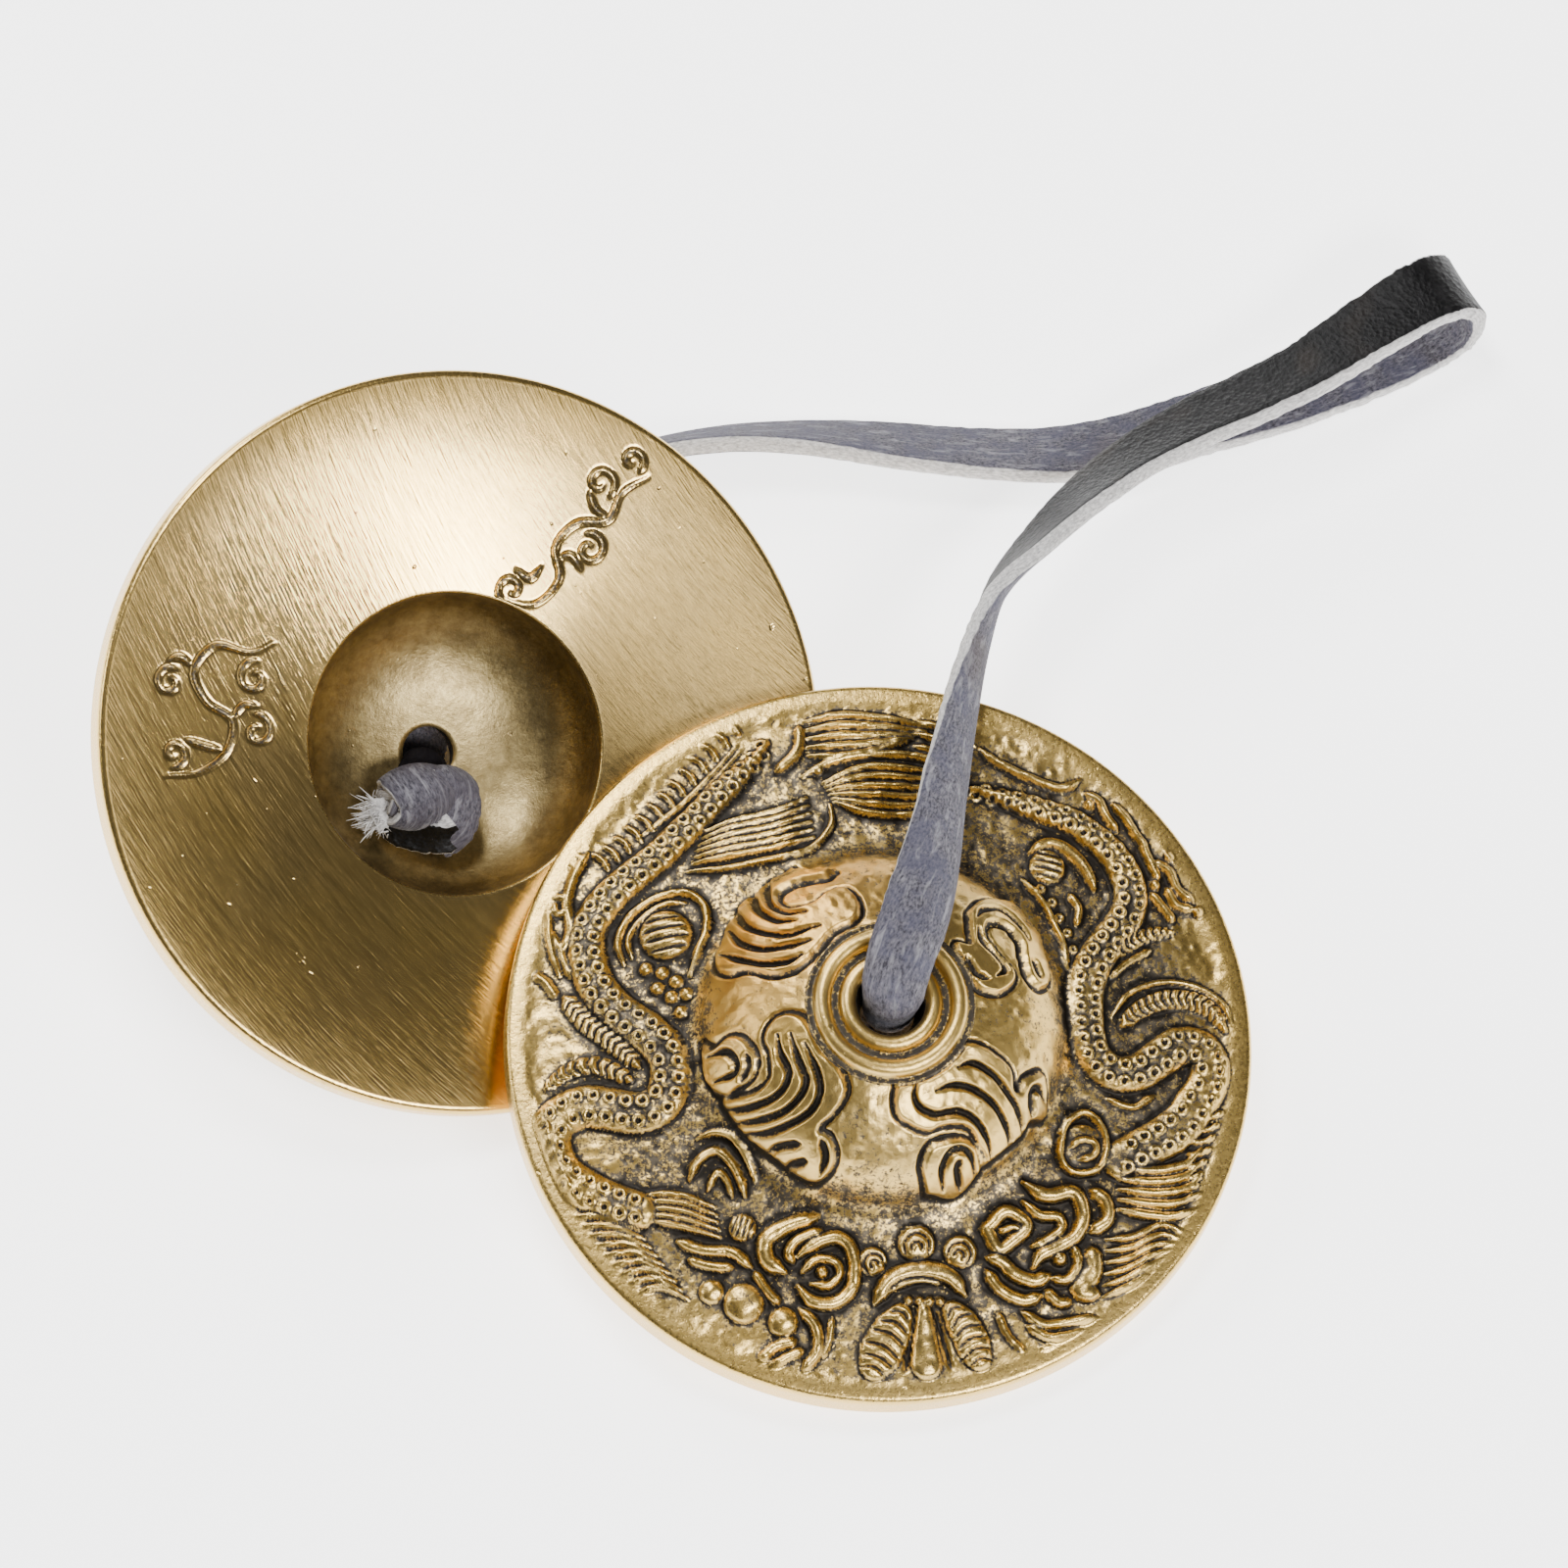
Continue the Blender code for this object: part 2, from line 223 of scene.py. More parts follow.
RIGHT_STATIONS = (
    ((0.0662, 0.0613, 0.0093), (0.50, -0.86, 0.00), THONG_WIDTH),
    ((0.0629, 0.0591, 0.0093), (0.51, -0.84, 0.16), THONG_WIDTH),
    ((0.0590, 0.0563, 0.0091), (0.49, -0.81, 0.30), THONG_WIDTH),
    ((0.0554, 0.0539, 0.0089), (0.47, -0.79, 0.39), THONG_WIDTH),
    ((0.0516, 0.0517, 0.0087), (0.44, -0.79, 0.44), THONG_WIDTH),
    ((0.0453, 0.0485, 0.0086), (0.46, -0.74, 0.49), THONG_WIDTH),
    ((0.0403, 0.0451, 0.0088), (0.53, -0.62, 0.58), THONG_WIDTH),
    ((0.0362, 0.0413, 0.0093), (0.58, -0.44, 0.69), THONG_WIDTH),
    ((0.0329, 0.0371, 0.0103), (0.57, -0.25, 0.78), THONG_WIDTH),
    ((0.0300, 0.0328, 0.0117), (0.52, -0.04, 0.85), THONG_WIDTH),
    ((0.0281, 0.0290, 0.0132), (0.34, 0.20, 0.92), THONG_WIDTH),
    ((0.0268, 0.0241, 0.0152), (0.10, 0.34, 0.94), 0.0058),
    ((0.0256, 0.0176, 0.0178), (-0.14, 0.34, 0.93), 0.0056),
    ((0.0240, 0.0069, 0.0216), (-0.45, 0.32, 0.83), 0.0053),
    ((0.0224, -0.0033, 0.0247), (-0.73, 0.32, 0.57), 0.0051),
    ((0.0210, -0.0084, 0.0254), (-0.87, 0.30, 0.32), 0.0049),
    ((0.0198, -0.0118, 0.0250), (-0.94, 0.26, 0.12), 0.0046),
    ((0.0191, -0.0138, 0.0238), (-0.97, 0.22, 0.02), 0.0044),
)


def hole_stations(centre, dome_axis, edge, widths):
    """On the axis of a cymbal's hole, from the roof of the bell out to the mouth on the land."""
    heights = np.linspace(ROOF_DEPTH, LAND_HEIGHT, len(widths)) * MM
    places = [tuple(centre + dome_axis * height) for height in heights]
    return tuple((place, edge, width) for place, width in zip(places, widths))


def fold_stations(low, high):
    """The half circle between the two runs, without its ends."""
    radius = (high[2] - low[2]) / 2
    middle = (np.array(low) + np.array(high)) / 2
    found = []
    for angle in np.radians((-67.5, -45, -22.5, 0, 22.5, 45, 67.5)):
        place = middle + FOLD_AWAY * radius * math.cos(angle)
        place[2] += radius * math.sin(angle)
        found.append((tuple(place), FOLD_EDGE, THONG_WIDTH))
    return tuple(found)


def travelled(places):
    """How far along a line each of its places is."""
    steps = np.linalg.norm(np.diff(places, axis=0), axis=1)
    return np.concatenate([[0], np.cumsum(steps)])


def smooth_rows(stations, samples):
    """Rows of (place, edge direction, width) on one smooth curve through the stations."""
    rows = np.array([(*place, *edge, width) for place, edge, width in stations])
    travel = travelled(rows[:, :3])
    slopes = np.gradient(rows, travel, axis=0, edge_order=1)
    found = []
    for i, step in enumerate(np.diff(travel)):
        for t in np.arange(samples) / samples:
            share = t * t * (3 - 2 * t)
            between = rows[i] * (1 - share) + rows[i + 1] * share
            swing = slopes[i] * step * t * (1 - t) ** 2 - slopes[i + 1] * step * t * t * (1 - t)
            found.append(between + swing)
    found.append(rows[-1])
    return np.array(found)


def unit(v):
    return v / np.linalg.norm(v, axis=-1, keepdims=True)


def curl_of(share):
    """Half the angle that a strip turns through to measure only this share of its width across."""
    low, high = 1e-4, 3.0
    for _ in range(40):
        middle = (low + high) / 2
        if math.sin(middle) / middle > share:
            low = middle
        else:
            high = middle
    return (low + high) / 2


SUEDE, EDGE, GRAIN = 1.0, 0.0, -1.0
POINTS_ACROSS = 11
EDGE_ROUNDING = 0.10
EDGE_ANGLES = np.radians((35, 70, 110, 145))
NECK_THINNING = 0.0003
NEARLY_FLAT = 0.9995


def strip_section():
    """Once round a strip from its upper face: share across from 1 to -1, share of the depth, and side."""
    upper = [(s, 1.0, SUEDE) for s in np.linspace(1, -1, POINTS_ACROSS)]
    edge = [(-1 - EDGE_ROUNDING * math.sin(a), math.cos(a), EDGE) for a in EDGE_ANGLES]
    lower = [(s, -1.0, GRAIN) for s in np.linspace(-1, 1, POINTS_ACROSS)]
    other = [(-share, -depth, EDGE) for share, depth, _ in edge]
    return upper + edge + lower + other


def strip_mesh(name, rows, along, seed, flat=THONG_WIDTH, swell=0.00008, pale=False):
    """A leather strip: rows of place, edge direction and width. Its flat width stays and it curls to fit."""
    section = strip_section()
    places = rows[:, :3]
    forward = unit(np.gradient(places, axis=0))
    edges = rows[:, 3:6] - forward * np.sum(rows[:, 3:6] * forward, axis=1, keepdims=True)
    edges = unit(edges)
    faces = np.cross(edges, forward)
    source = np.random.default_rng(seed)
    drift, drift_far = rough_edge(source, len(rows), swell), rough_edge(source, len(rows), swell)
    half = flat / 2
    vertices, lays = [], []
    for i, width in enumerate(rows[:, 6]):
        neck = np.clip((flat - width) / (THONG_WIDTH - NECK_WIDTH), 0, 1)
        half_depth = (THONG_THICKNESS - NECK_THINNING * neck) / 2
        angle = curl_of(min(width / flat, NEARLY_FLAT))
        bend = angle / half
        offset = (1 - math.cos(angle)) / bend / 2
        for share, depth, _ in section:
            s = share * half + (drift[i] if share > 0 else -drift_far[i]) * min(1, abs(share) ** 6)
            n = depth * half_depth
            across = (1 / bend + n) * math.sin(bend * s)
            out = (1 / bend + n) * math.cos(bend * s) - 1 / bend + offset
            vertices.append(tuple(places[i] + edges[i] * across + faces[i] * out))
            lays.append((along[i], s, n))
    mesh = bpy.data.meshes.new(name)
    mesh.from_pydata(vertices, [], tube_faces(len(rows), len(section)))
    mesh.shade_smooth()
    sides = np.tile([side for _, _, side in section], len(rows))
    put_attribute(mesh, "lay", "FLOAT_VECTOR", np.array(lays))
    put_attribute(mesh, "side", "FLOAT", sides * (0.0 if pale else 1.0))
    return mesh


def tube_faces(rings, count):
    """Faces that join rings of count points each, and the two that close the ends."""
    walls = []
    for start in range(0, (rings - 1) * count, count):
        for k in range(count):
            m = (k + 1) % count
            walls.append((start + k, start + m, start + count + m, start + count + k))
    last = (rings - 1) * count
    return walls + [tuple(range(count))[::-1], tuple(range(last, last + count))]


def rough_edge(source, count, size):
    """How far a cut edge strays: slowly, and less so from row to row."""
    return smooth_wobble(source, count, 9, size) + smooth_wobble(source, count, 1, size * 0.6)


def smooth_wobble(source, count, spacing, size):
    knots = source.normal(0, size, count // spacing + 3)
    return np.interp(np.arange(count) / spacing, np.arange(len(knots)), knots)


def put_attribute(mesh, name, kind, values):
    attribute = mesh.attributes.new(name, kind, "POINT")
    key = "vector" if kind == "FLOAT_VECTOR" else "value"
    attribute.data.foreach_set(key, np.asarray(values, np.float32).ravel())


def new_object(name, mesh, material):
    thing = bpy.data.objects.new(name, mesh)
    bpy.context.scene.collection.objects.link(thing)
    mesh.materials.append(material)
    return thing


# ---------------------------------------------------------------- leather


def leather_material(name, tone, painted_shade_span=(-2.0, -1.0)):
    """Suede on one face, black grain on the other, pale cut edges.

    Up to the first of the two given lengths along the strip it is painted near black, a painted shade without
    sheen or shine, and it is unshaded from the second."""
    n = Nodes(name)
    lay = n.attribute("lay", "Vector")
    side = n.attribute("side")
    is_suede = n.ramp(side, 0.25, 0.75)
    is_grain = n.ramp(side, -0.25, -0.75)
    # Painted shade: near black, and without sheen or shine, in the span of the strip that lies in the hole.
    unshaded = n.ramp(n.split(lay)["X"], *painted_shade_span, 0.04, 1.0)

    blotch = n.noise(lay, 420, 4, 0.6)
    nap = n.noise(n.stretched(lay, (1.0, 1.9, 1.0)), 2600, 4, 0.7)
    streak = n.noise(n.stretched(lay, (0.35, 1.6, 1.0)), 1100, 3, 0.6, 0.6)
    stain = n.noise(lay, 95, 2, 0.5)
    suede = n.mix(n.ramp(nap, 0.36, 0.64), (0.026, 0.024, 0.032), (0.175, 0.166, 0.195))
    suede = n.mix(n.ramp(blotch, 0.42, 0.62, 0, 0.6), suede, tone)
    suede = n.mix(n.ramp(streak, 0.54, 0.72, 0, 0.5), suede, (0.42, 0.41, 0.44))
    suede = n.mix(n.ramp(stain, 0.60, 0.74, 0, 0.45), suede, (0.07, 0.05, 0.038))

    pebble = n.add("ShaderNodeTexVoronoi", {"Vector": lay, "Scale": 2300.0}).outputs["Distance"]
    crease = n.noise(n.stretched(lay, (1.0, 0.45, 1.0)), 900, 5, 0.65, 1.2)
    scuff = n.noise(lay, 1500, 5, 0.75)
    grain = n.mix(n.ramp(crease, 0.42, 0.62), (0.0015, 0.0014, 0.0015), (0.007, 0.0065, 0.007))
    grain = n.mix(n.ramp(stain, 0.55, 0.70, 0, 0.40), grain, (0.045, 0.030, 0.019))
    grain = n.mix(n.ramp(scuff, 0.66, 0.78, 0, 0.5), grain, (0.10, 0.097, 0.10))

    fibre = n.noise(n.stretched(lay, (1.0, 1.0, 3.0)), 1900, 5, 0.7)
    cut = n.mix(n.ramp(fibre, 0.35, 0.66), (0.32, 0.31, 0.305), (0.78, 0.76, 0.74))

    base = n.mix(is_suede, cut, suede)
    base = n.mix(is_grain, base, grain)
    n.surface("Base Color", n.mix(unshaded, (0.006, 0.005, 0.005), base))
    n.surface("Roughness", n.minus(0.92, n.times(is_grain, n.ramp(scuff, 0.3, 0.7, 0.50, 0.36))))
    n.surface("Sheen Weight", n.times(n.times(is_suede, 0.08), unshaded))
    n.surface("Sheen Roughness", 0.5)
    n.surface("Specular IOR Level", n.times(n.ramp(is_grain, 0, 1, 0.30, 0.20), unshaded))
    nap_height = n.plus(nap, n.times(streak, 0.8))
    grain_height = n.minus(n.times(crease, 1.2), n.times(pebble, 0.6))
    height = n.mix_numbers(is_grain, nap_height, grain_height)
    n.surface("Normal", n.bump(height, 0.75, 0.00016))
    return n.material


# Where the thong runs through the left cymbal's hole it is painted dark, a painted shade.
PAINTED_HOLE_SHADE = (0.0105, 0.0135)
thong_leather = leather_material("thong_leather", (0.078, 0.077, 0.118), PAINTED_HOLE_SHADE)


ROWS_A_STATION = 9


def make_thong():
    """The lower and the upper strap: each one's object, its rows, and how far along the thong they are."""
    left_foot = LEFT_CENTRE + LEFT_HOLE_ASIDE
    left_hole = hole_stations(left_foot, LEFT_DOME_AXIS, (1.0, 0.0, 0.0), (0.0034, 0.0038, 0.0044))
    right_edge = (-0.98, 0.20, 0.0)
    right_hole = hole_stations(RIGHT_CENTRE, RIGHT_DOME_AXIS, right_edge, (0.0034, 0.0038, 0.0042))
    fold = fold_stations(LEFT_STATIONS[-1][0], RIGHT_STATIONS[0][0])
    lower = LEFT_BELL_STATIONS + left_hole + LEFT_STATIONS
    rows = smooth_rows(lower + fold + RIGHT_STATIONS + right_hole[::-1], ROWS_A_STATION)
    along = travelled(rows[:, :3])
    seam = (len(lower) - 1) * ROWS_A_STATION
    made = []
    for name, part, seed in (("strap_lower", slice(seam + 1), 3), ("strap_upper", slice(seam, None), 4)):
        mesh = strip_mesh(name, rows[part], along[part], seed)
        made.append((new_object(name, mesh, thong_leather), rows[part], along[part]))
    return made


(strap_lower, lower_rows, lower_along), (strap_upper, upper_rows, upper_along) = make_thong()


# ---------------------------------------------------------------- the relief, drawn in millimetres on a plan

CELL = 0.06
HALF = 33.0
SIDE = int(2 * HALF / CELL) + 1

# How round a stroke is across: the power of its profile.
BROAD = 0.35
ROUNDED = 0.5
GROOVE = 0.7


def new_plan():
    return np.zeros((SIDE, SIDE), np.float32)


def curve(points, spacing=0.14):
    """Points on a smooth line through the given ones."""
    p = np.array(points, float)
    ends = np.vstack([2 * p[0] - p[1], p, 2 * p[-1] - p[-2]])
    found = []
    for a, b, c, d in zip(ends, ends[1:], ends[2:], ends[3:]):
        count = max(2, int(np.linalg.norm(c - b) / spacing))
        t = (np.arange(count) / count)[:, None]
        square, cube = 2 * a - 5 * b + 4 * c - d, 3 * b - a - 3 * c + d
        found.append(0.5 * (2 * b + (c - a) * t + square * t**2 + cube * t**3))
    return np.vstack([*found, p[-1:]])


def press(plan, x, y, radius, height, power=ROUNDED):
    """One round bump, kept where it is higher than what is there."""
    reach = int(radius / CELL) + 1
    column = int(round((x + HALF) / CELL))
    row = int(round((y + HALF) / CELL))
    c0, c1 = max(column - reach, 0), min(column + reach + 1, SIDE)
    r0, r1 = max(row - reach, 0), min(row + reach + 1, SIDE)
    if c0 >= c1 or r0 >= r1:
        return
    xs = np.arange(c0, c1) * CELL - HALF - x
    ys = np.arange(r0, r1) * CELL - HALF - y
    share = 1 - (xs[None, :] ** 2 + ys[:, None] ** 2) / radius**2
    bump = height * np.clip(share, 0, 1) ** power
    window = plan[r0:r1, c0:c1]
    np.maximum(window, bump, out=window)


def stroke(plan, points, width, height, power=ROUNDED, taper=(0.12, 0.12)):
    """A ridge. Its width is half of the whole, as one number or as several from end to end."""
    line = curve(points)
    t = np.linspace(0, 1, len(line))
    widths = np.interp(t, np.linspace(0, 1, len(np.atleast_1d(width))), np.atleast_1d(width))
    fade = np.ones_like(t)
    if taper[0] > 0:
        fade = np.minimum(fade, 0.3 + 0.7 * t / taper[0])
    if taper[1] > 0:
        fade = np.minimum(fade, 0.3 + 0.7 * (1 - t) / taper[1])
    for (x, y), w, f in zip(line, widths, fade):
        press(plan, x, y, w * f, height * (0.55 + 0.45 * f), power)


def ridge(plan, width, height, points):
    """A stroke whose ends taper, or do not where they meet."""
    closed = points[0] == points[-1]
    stroke(plan, points, width, height, taper=(0, 0) if closed else (0.12, 0.12))


def fan(plan, first, last, count, width, height):
    """Ridges that go over evenly from one line to another."""
    a, b = np.array(first, float), np.array(last, float)
    for share in np.linspace(0, 1, count):
        stroke(plan, a * (1 - share) + b * share, width, height, taper=(0.2, 0.35))


def spiral(x, y, radius, start, turns):
    angles = math.radians(start) + np.linspace(0, turns * 2 * math.pi, 14)
    radii = radius * np.linspace(1, 0.22, 14)
    return [(x + r * math.cos(a), y + r * math.sin(a)) for r, a in zip(radii, angles)]


SCALE_SPACING = 1.42
SERPENT_HEIGHT = 0.95


def serpent(mass, detail, cut, points, widths, height):
    """A scaled body: a rounded ridge with two rows of round scales, each with a pit in its middle."""
    stroke(mass, points, widths, height, power=0.40, taper=(0.08, 0.0))
    line = curve(points)
    t = np.linspace(0, 1, len(line))
    breadth = np.interp(t, np.linspace(0, 1, len(widths)), widths)
    forward = unit(np.gradient(line, axis=0))
    across = np.stack([-forward[:, 1], forward[:, 0]], axis=1)
    for offset in (0.46, -0.46):
        row = line + across * (breadth * offset)[:, None]
        travel = travelled(row)
        for place in np.arange(0.5 + 0.7 * (offset > 0), travel[-1], SCALE_SPACING):
            x = np.interp(place, travel, row[:, 0])
            y = np.interp(place, travel, row[:, 1])
            size = 0.58 + 0.06 * math.sin(5 * place)
            press(detail, x, y, size, 0.32, BROAD)
            press(cut, x, y, 0.35, 0.56, GROOVE)


def knob(mass, cut, x, y, radius, height, hatch_angle):
    """A round boss, with hatched grooves if it has an angle for them."""
    press(mass, x, y, radius, height)
    if hatch_angle is None:
        return
    a = math.radians(hatch_angle)
    towards, aside = np.array((math.cos(a), math.sin(a))), np.array((-math.sin(a), math.cos(a)))
    for offset in np.linspace(-0.6, 0.6, 4) * radius:
        reach = math.sqrt(radius**2 - offset**2) * 0.85
        ends = [np.array((x, y)) + aside * offset + towards * reach * s for s in (-1, 0, 1)]
        stroke(cut, ends, 0.22, 0.30, 0.8)


def leaf(mass, cut, spine, widths, count, height):
    """A leaf or crest with grooves across it."""
    stroke(mass, spine, widths, height, BROAD, taper=(0.1, 0.1))
    line = curve(spine)
    forward = unit(np.gradient(line, axis=0))
    breadth = np.interp(np.linspace(0, 1, len(line)), np.linspace(0, 1, len(widths)), widths)
    for share in np.linspace(0.08, 0.92, count):
        k = int(share * (len(line) - 1))
        side = np.array((-forward[k][1], forward[k][0])) * breadth[k] * 0.95
        ends = (line[k] - side + forward[k] * 0.4, line[k], line[k] + side + forward[k] * 0.4)
        stroke(cut, ends, 0.2, 0.38, GROOVE)


# Each scaled body is its half widths from tail to neck and the middle of its back.
SERPENTS = (
    ((0.8, 1.2, 1.4, 1.5, 1.6, 1.7, 1.8, 1.8, 1.9, 1.9, 1.8, 1.6), (
     (-9.8, 26.8), (-10.7, 25.4), (-12.7, 23.2), (-14.9, 20.8), (-17.0, 18.4), (-19.5, 15.9),
     (-22.1, 13.7), (-24.0, 11.7), (-25.3, 9.5), (-25.5, 7.2), (-24.6, 4.1), (-22.7, 1.7), (-20.2, -0.2),
     (-18.6, -2.1), (-18.3, -4.3), (-19.0, -6.4), (-20.9, -7.3), (-23.5, -6.9), (-25.9, -6.7),
     (-28.0, -7.9), (-28.6, -10.0), (-27.6, -12.4), (-25.5, -14.0), (-23.1, -15.1), (-20.8, -15.9))),
    ((0.8, 1.1, 1.3, 1.5, 1.6, 1.7, 1.6, 1.6, 1.8, 1.8, 1.9, 1.7), (
     (8.0, 22.8), (9.9, 22.2), (11.7, 21.7), (14.0, 21.0), (16.5, 20.2), (18.6, 18.8), (20.4, 17.1),
     (21.5, 15.1), (21.8, 12.9), (21.1, 10.9), (19.7, 8.9), (18.5, 7.0), (17.8, 4.8), (17.7, 2.6),
     (17.9, 0.3), (18.6, -1.7), (20.3, -2.9), (22.4, -2.6), (24.2, -1.3), (26.0, -0.1), (27.8, -0.2),
     (28.7, -1.6), (28.4, -3.6), (27.4, -5.2), (26.4, -6.8), (24.6, -8.3), (22.6, -9.5), (20.8, -10.6))),
)

# Each ridge is its half width, its height and its points. A closed one ends where it starts.
RIDGES = (
    # the top
    (0.4, 0.6, ((-6.8, 23.6), (-4.4, 25.0), (-1.0, 25.8), (3.0, 25.8), (6.6, 25.0))),
    (0.5, 0.7, ((-9.0, 24.0), (-7.2, 26.0), (-7.0, 28.4))),
    # the left side
    (0.42, 0.6, ((-27.0, 16.8), (-28.5, 14.6), (-29.0, 11.7), (-28.7, 8.4), (-27.8, 5.2))),
    (0.5, 0.65, ((-25.4, 16.5), (-26.6, 14.4), (-27.2, 11.9), (-26.9, 9.4), (-27.6, 7.2))),
    (0.35, 0.5, ((-28.4, 9.2), (-27.6, 7.0), (-26.9, 5.0))),
    (0.5, 0.5, ((-29.9, 5.2), (-29.0, 4.6), (-28.2, 3.4))),
    (0.36, 0.7, ((-22.3, 6.1), (-22.8, 8.1), (-21.8, 10.4), (-19.6, 12.1), (-17.0, 12.6), (-15.4, 11.4),
         (-15.2, 9.2), (-15.9, 7.0), (-16.6, 4.8))),
    (0.24, 0.6, ((-21.6, 6.6), (-21.9, 8.4), (-20.8, 10.2), (-18.9, 11.5), (-17.0, 11.7))),
    (0.3, 0.6, ((-16.8, 14.6), (-13.6, 14.8), (-10.0, 15.6), (-6.4, 16.6), (-4.4, 18.8), (-4.4, 21.0))),
    (0.46, 0.8, ((-16.6, -13.3), (-15.9, -11.7), (-14.4, -10.8), (-13.1, -11.7), (-12.2, -13.4),
         (-11.8, -14.8))),
    (0.36, 0.7, ((-15.0, -14.2), (-14.2, -12.7), (-13.4, -13.4), (-12.9, -14.8))),
    (0.32, 0.6, ((-16.0, -9.7), (-14.4, -9.2), (-12.8, -9.8), (-11.6, -11.6), (-10.9, -13.4))),
    # the right side
    ((0.4, 0.72, 0.5), 0.95, ((12.9, 16.9), (14.5, 17.9), (16.4, 17.2), (17.9, 15.5), (18.6, 13.8))),
    (0.34, 0.6, ((12.3, 14.4), (13.4, 13.2), (14.4, 11.8), (15.1, 10.2), (15.9, 8.2), (16.1, 6.2))),
    (0.4, 0.6, ((16.4, 13.2), (17.2, 12.0), (17.0, 10.4))),
    (0.42, 0.7, ((8.8, 26.7), (10.3, 25.4), (12.4, 24.4), (14.4, 23.6), (16.1, 23.3), (17.6, 24.2))),
    (0.34, 0.45, ((20.0, 5.8), (21.4, 7.2), (23.6, 8.6))),
    (0.28, 0.55, ((20.0, 2.2), (21.6, 4.4), (24.2, 5.6), (27.2, 5.6), (29.8, 4.2), (30.8, 2.2))),
    (0.3, 0.4, ((19.6, -5.2), (21.8, -5.8), (23.8, -4.6))),
    (0.36, 0.85, ((15.5, -9.4), (15.9, -7.8), (17.6, -6.6), (19.1, -7.8), (19.5, -9.8), (18.6, -11.6),
         (16.6, -11.9), (15.5, -10.8), (15.5, -9.4))),
    (0.4, 0.95, ((16.2, -9.9), (17.2, -9.1), (18.4, -9.3), (18.4, -10.3), (17.0, -10.9))),
    # the flames
    (0.46, 0.7, ((18.0, 22.9), (19.2, 22.2), (19.8, 20.8), (20.7, 19.6))),
    (0.46, 0.7, ((20.4, 22.0), (21.5, 20.8), (22.4, 19.2), (23.4, 18.0))),
    (0.46, 0.7, ((22.9, 18.4), (23.6, 16.8), (24.3, 15.2))),
    (0.46, 0.7, ((23.8, 16.9), (25.3, 16.0), (26.0, 14.4), (27.4, 13.4))),
    (0.46, 0.7, ((25.0, 14.4), (25.9, 12.9), (27.4, 12.6))),
    (0.46, 0.7, ((23.6, 13.8), (24.8, 12.4), (25.6, 11.4))),
)

# The two heads' ridges are broader than their own numbers by HEAD_BREADTH.
HEAD_BREADTH = 1.28
HEAD_RIDGES = (
    # the left head
    (0.42, 0.8, ((-17.6, -18.6), (-15.4, -19.4), (-12.9, -19.6), (-11.2, -20.9))),
    (0.36, 0.6, ((-16.6, -20.2), (-14.6, -20.8), (-12.8, -20.9))),
    ((0.5, 0.62, 0.6), 1.0, ((-5.5, -16.5), (-7.8, -17.2), (-9.9, -18.5), (-9.8, -20.3), (-8.3, -21.3))),
    (0.4, 0.9, ((-5.2, -17.7), (-7.2, -18.5), (-8.0, -19.6), (-7.6, -20.5))),
    (0.36, 0.8, ((-10.9, -21.3), (-9.9, -22.8), (-8.8, -24.0))),
    (0.5, 0.95, ((-7.3, -20.0), (-6.0, -19.0), (-4.1, -18.3), (-2.8, -19.0), (-2.3, -20.8), (-2.6, -22.7),
         (-4.0, -23.9), (-5.9, -23.8), (-7.2, -22.5))),
    (0.34, 0.85, ((-6.9, -21.3), (-5.6, -20.2), (-4.0, -20.4), (-3.6, -21.5), (-4.6, -22.4),
         (-6.1, -22.3))),
    (0.42, 0.7, ((-10.4, -29.0), (-9.0, -27.7), (-7.3, -27.2))),
    (0.36, 0.65, ((-9.6, -29.6), (-8.0, -28.6), (-6.7, -28.0))),
    (0.42, 0.8, ((-7.0, -24.5), (-5.7, -25.8), (-5.4, -27.9), (-6.6, -29.8))),
    (0.26, 0.4, ((-4.2, -25.2), (-4.4, -27.0), (-5.0, -28.6))),
    # the right head
    (0.56, 1.0, ((12.3, -13.1), (14.2, -14.1), (16.6, -13.7), (17.5, -15.3), (17.0, -17.2), (15.7, -18.2),
         (13.9, -19.2), (13.2, -20.4))),
    (0.4, 0.85, ((12.2, -14.7), (13.6, -15.8), (15.3, -15.9), (15.6, -16.9), (14.4, -17.9),
         (13.0, -18.6))),
    (0.5, 0.85, ((18.2, -13.4), (19.5, -14.3), (19.6, -15.9), (18.2, -17.0))),
    (0.5, 0.95, ((9.1, -17.2), (10.6, -15.7), (12.0, -16.1), (12.5, -17.0), (11.3, -18.2), (10.1, -18.9),
         (9.1, -17.2))),
    (0.3, 0.8, ((10.2, -17.5), (11.3, -17.0), (12.0, -17.2))),
    (0.52, 0.95, ((9.2, -19.7), (10.3, -19.9), (11.6, -21.0), (13.3, -21.5), (14.6, -20.9))),
    (0.46, 0.85, ((9.1, -20.8), (10.4, -22.4), (12.4, -23.2), (13.9, -22.7))),
    (0.38, 0.9, ((16.7, -18.3), (17.1, -19.8), (16.2, -21.2), (14.8, -21.2))),
    ((0.6, 0.85, 0.6), 0.85, ((18.3, -18.4), (18.4, -20.2), (17.4, -22.0), (18.9, -22.4))),
    (0.4, 0.8, ((14.4, -22.3), (15.4, -23.2), (16.4, -23.2))),
    (0.38, 0.75, ((12.3, -24.2), (14.2, -25.2), (16.6, -24.9), (18.8, -24.5))),
    (0.38, 0.7, ((12.8, -25.4), (15.0, -26.4), (18.0, -25.8))),
    (0.32, 0.5, ((14.0, -27.3), (16.4, -27.4), (18.2, -26.9))),
    (0.28, 0.4, ((10.2, -24.4), (11.0, -26.2), (12.4, -27.6))),
)

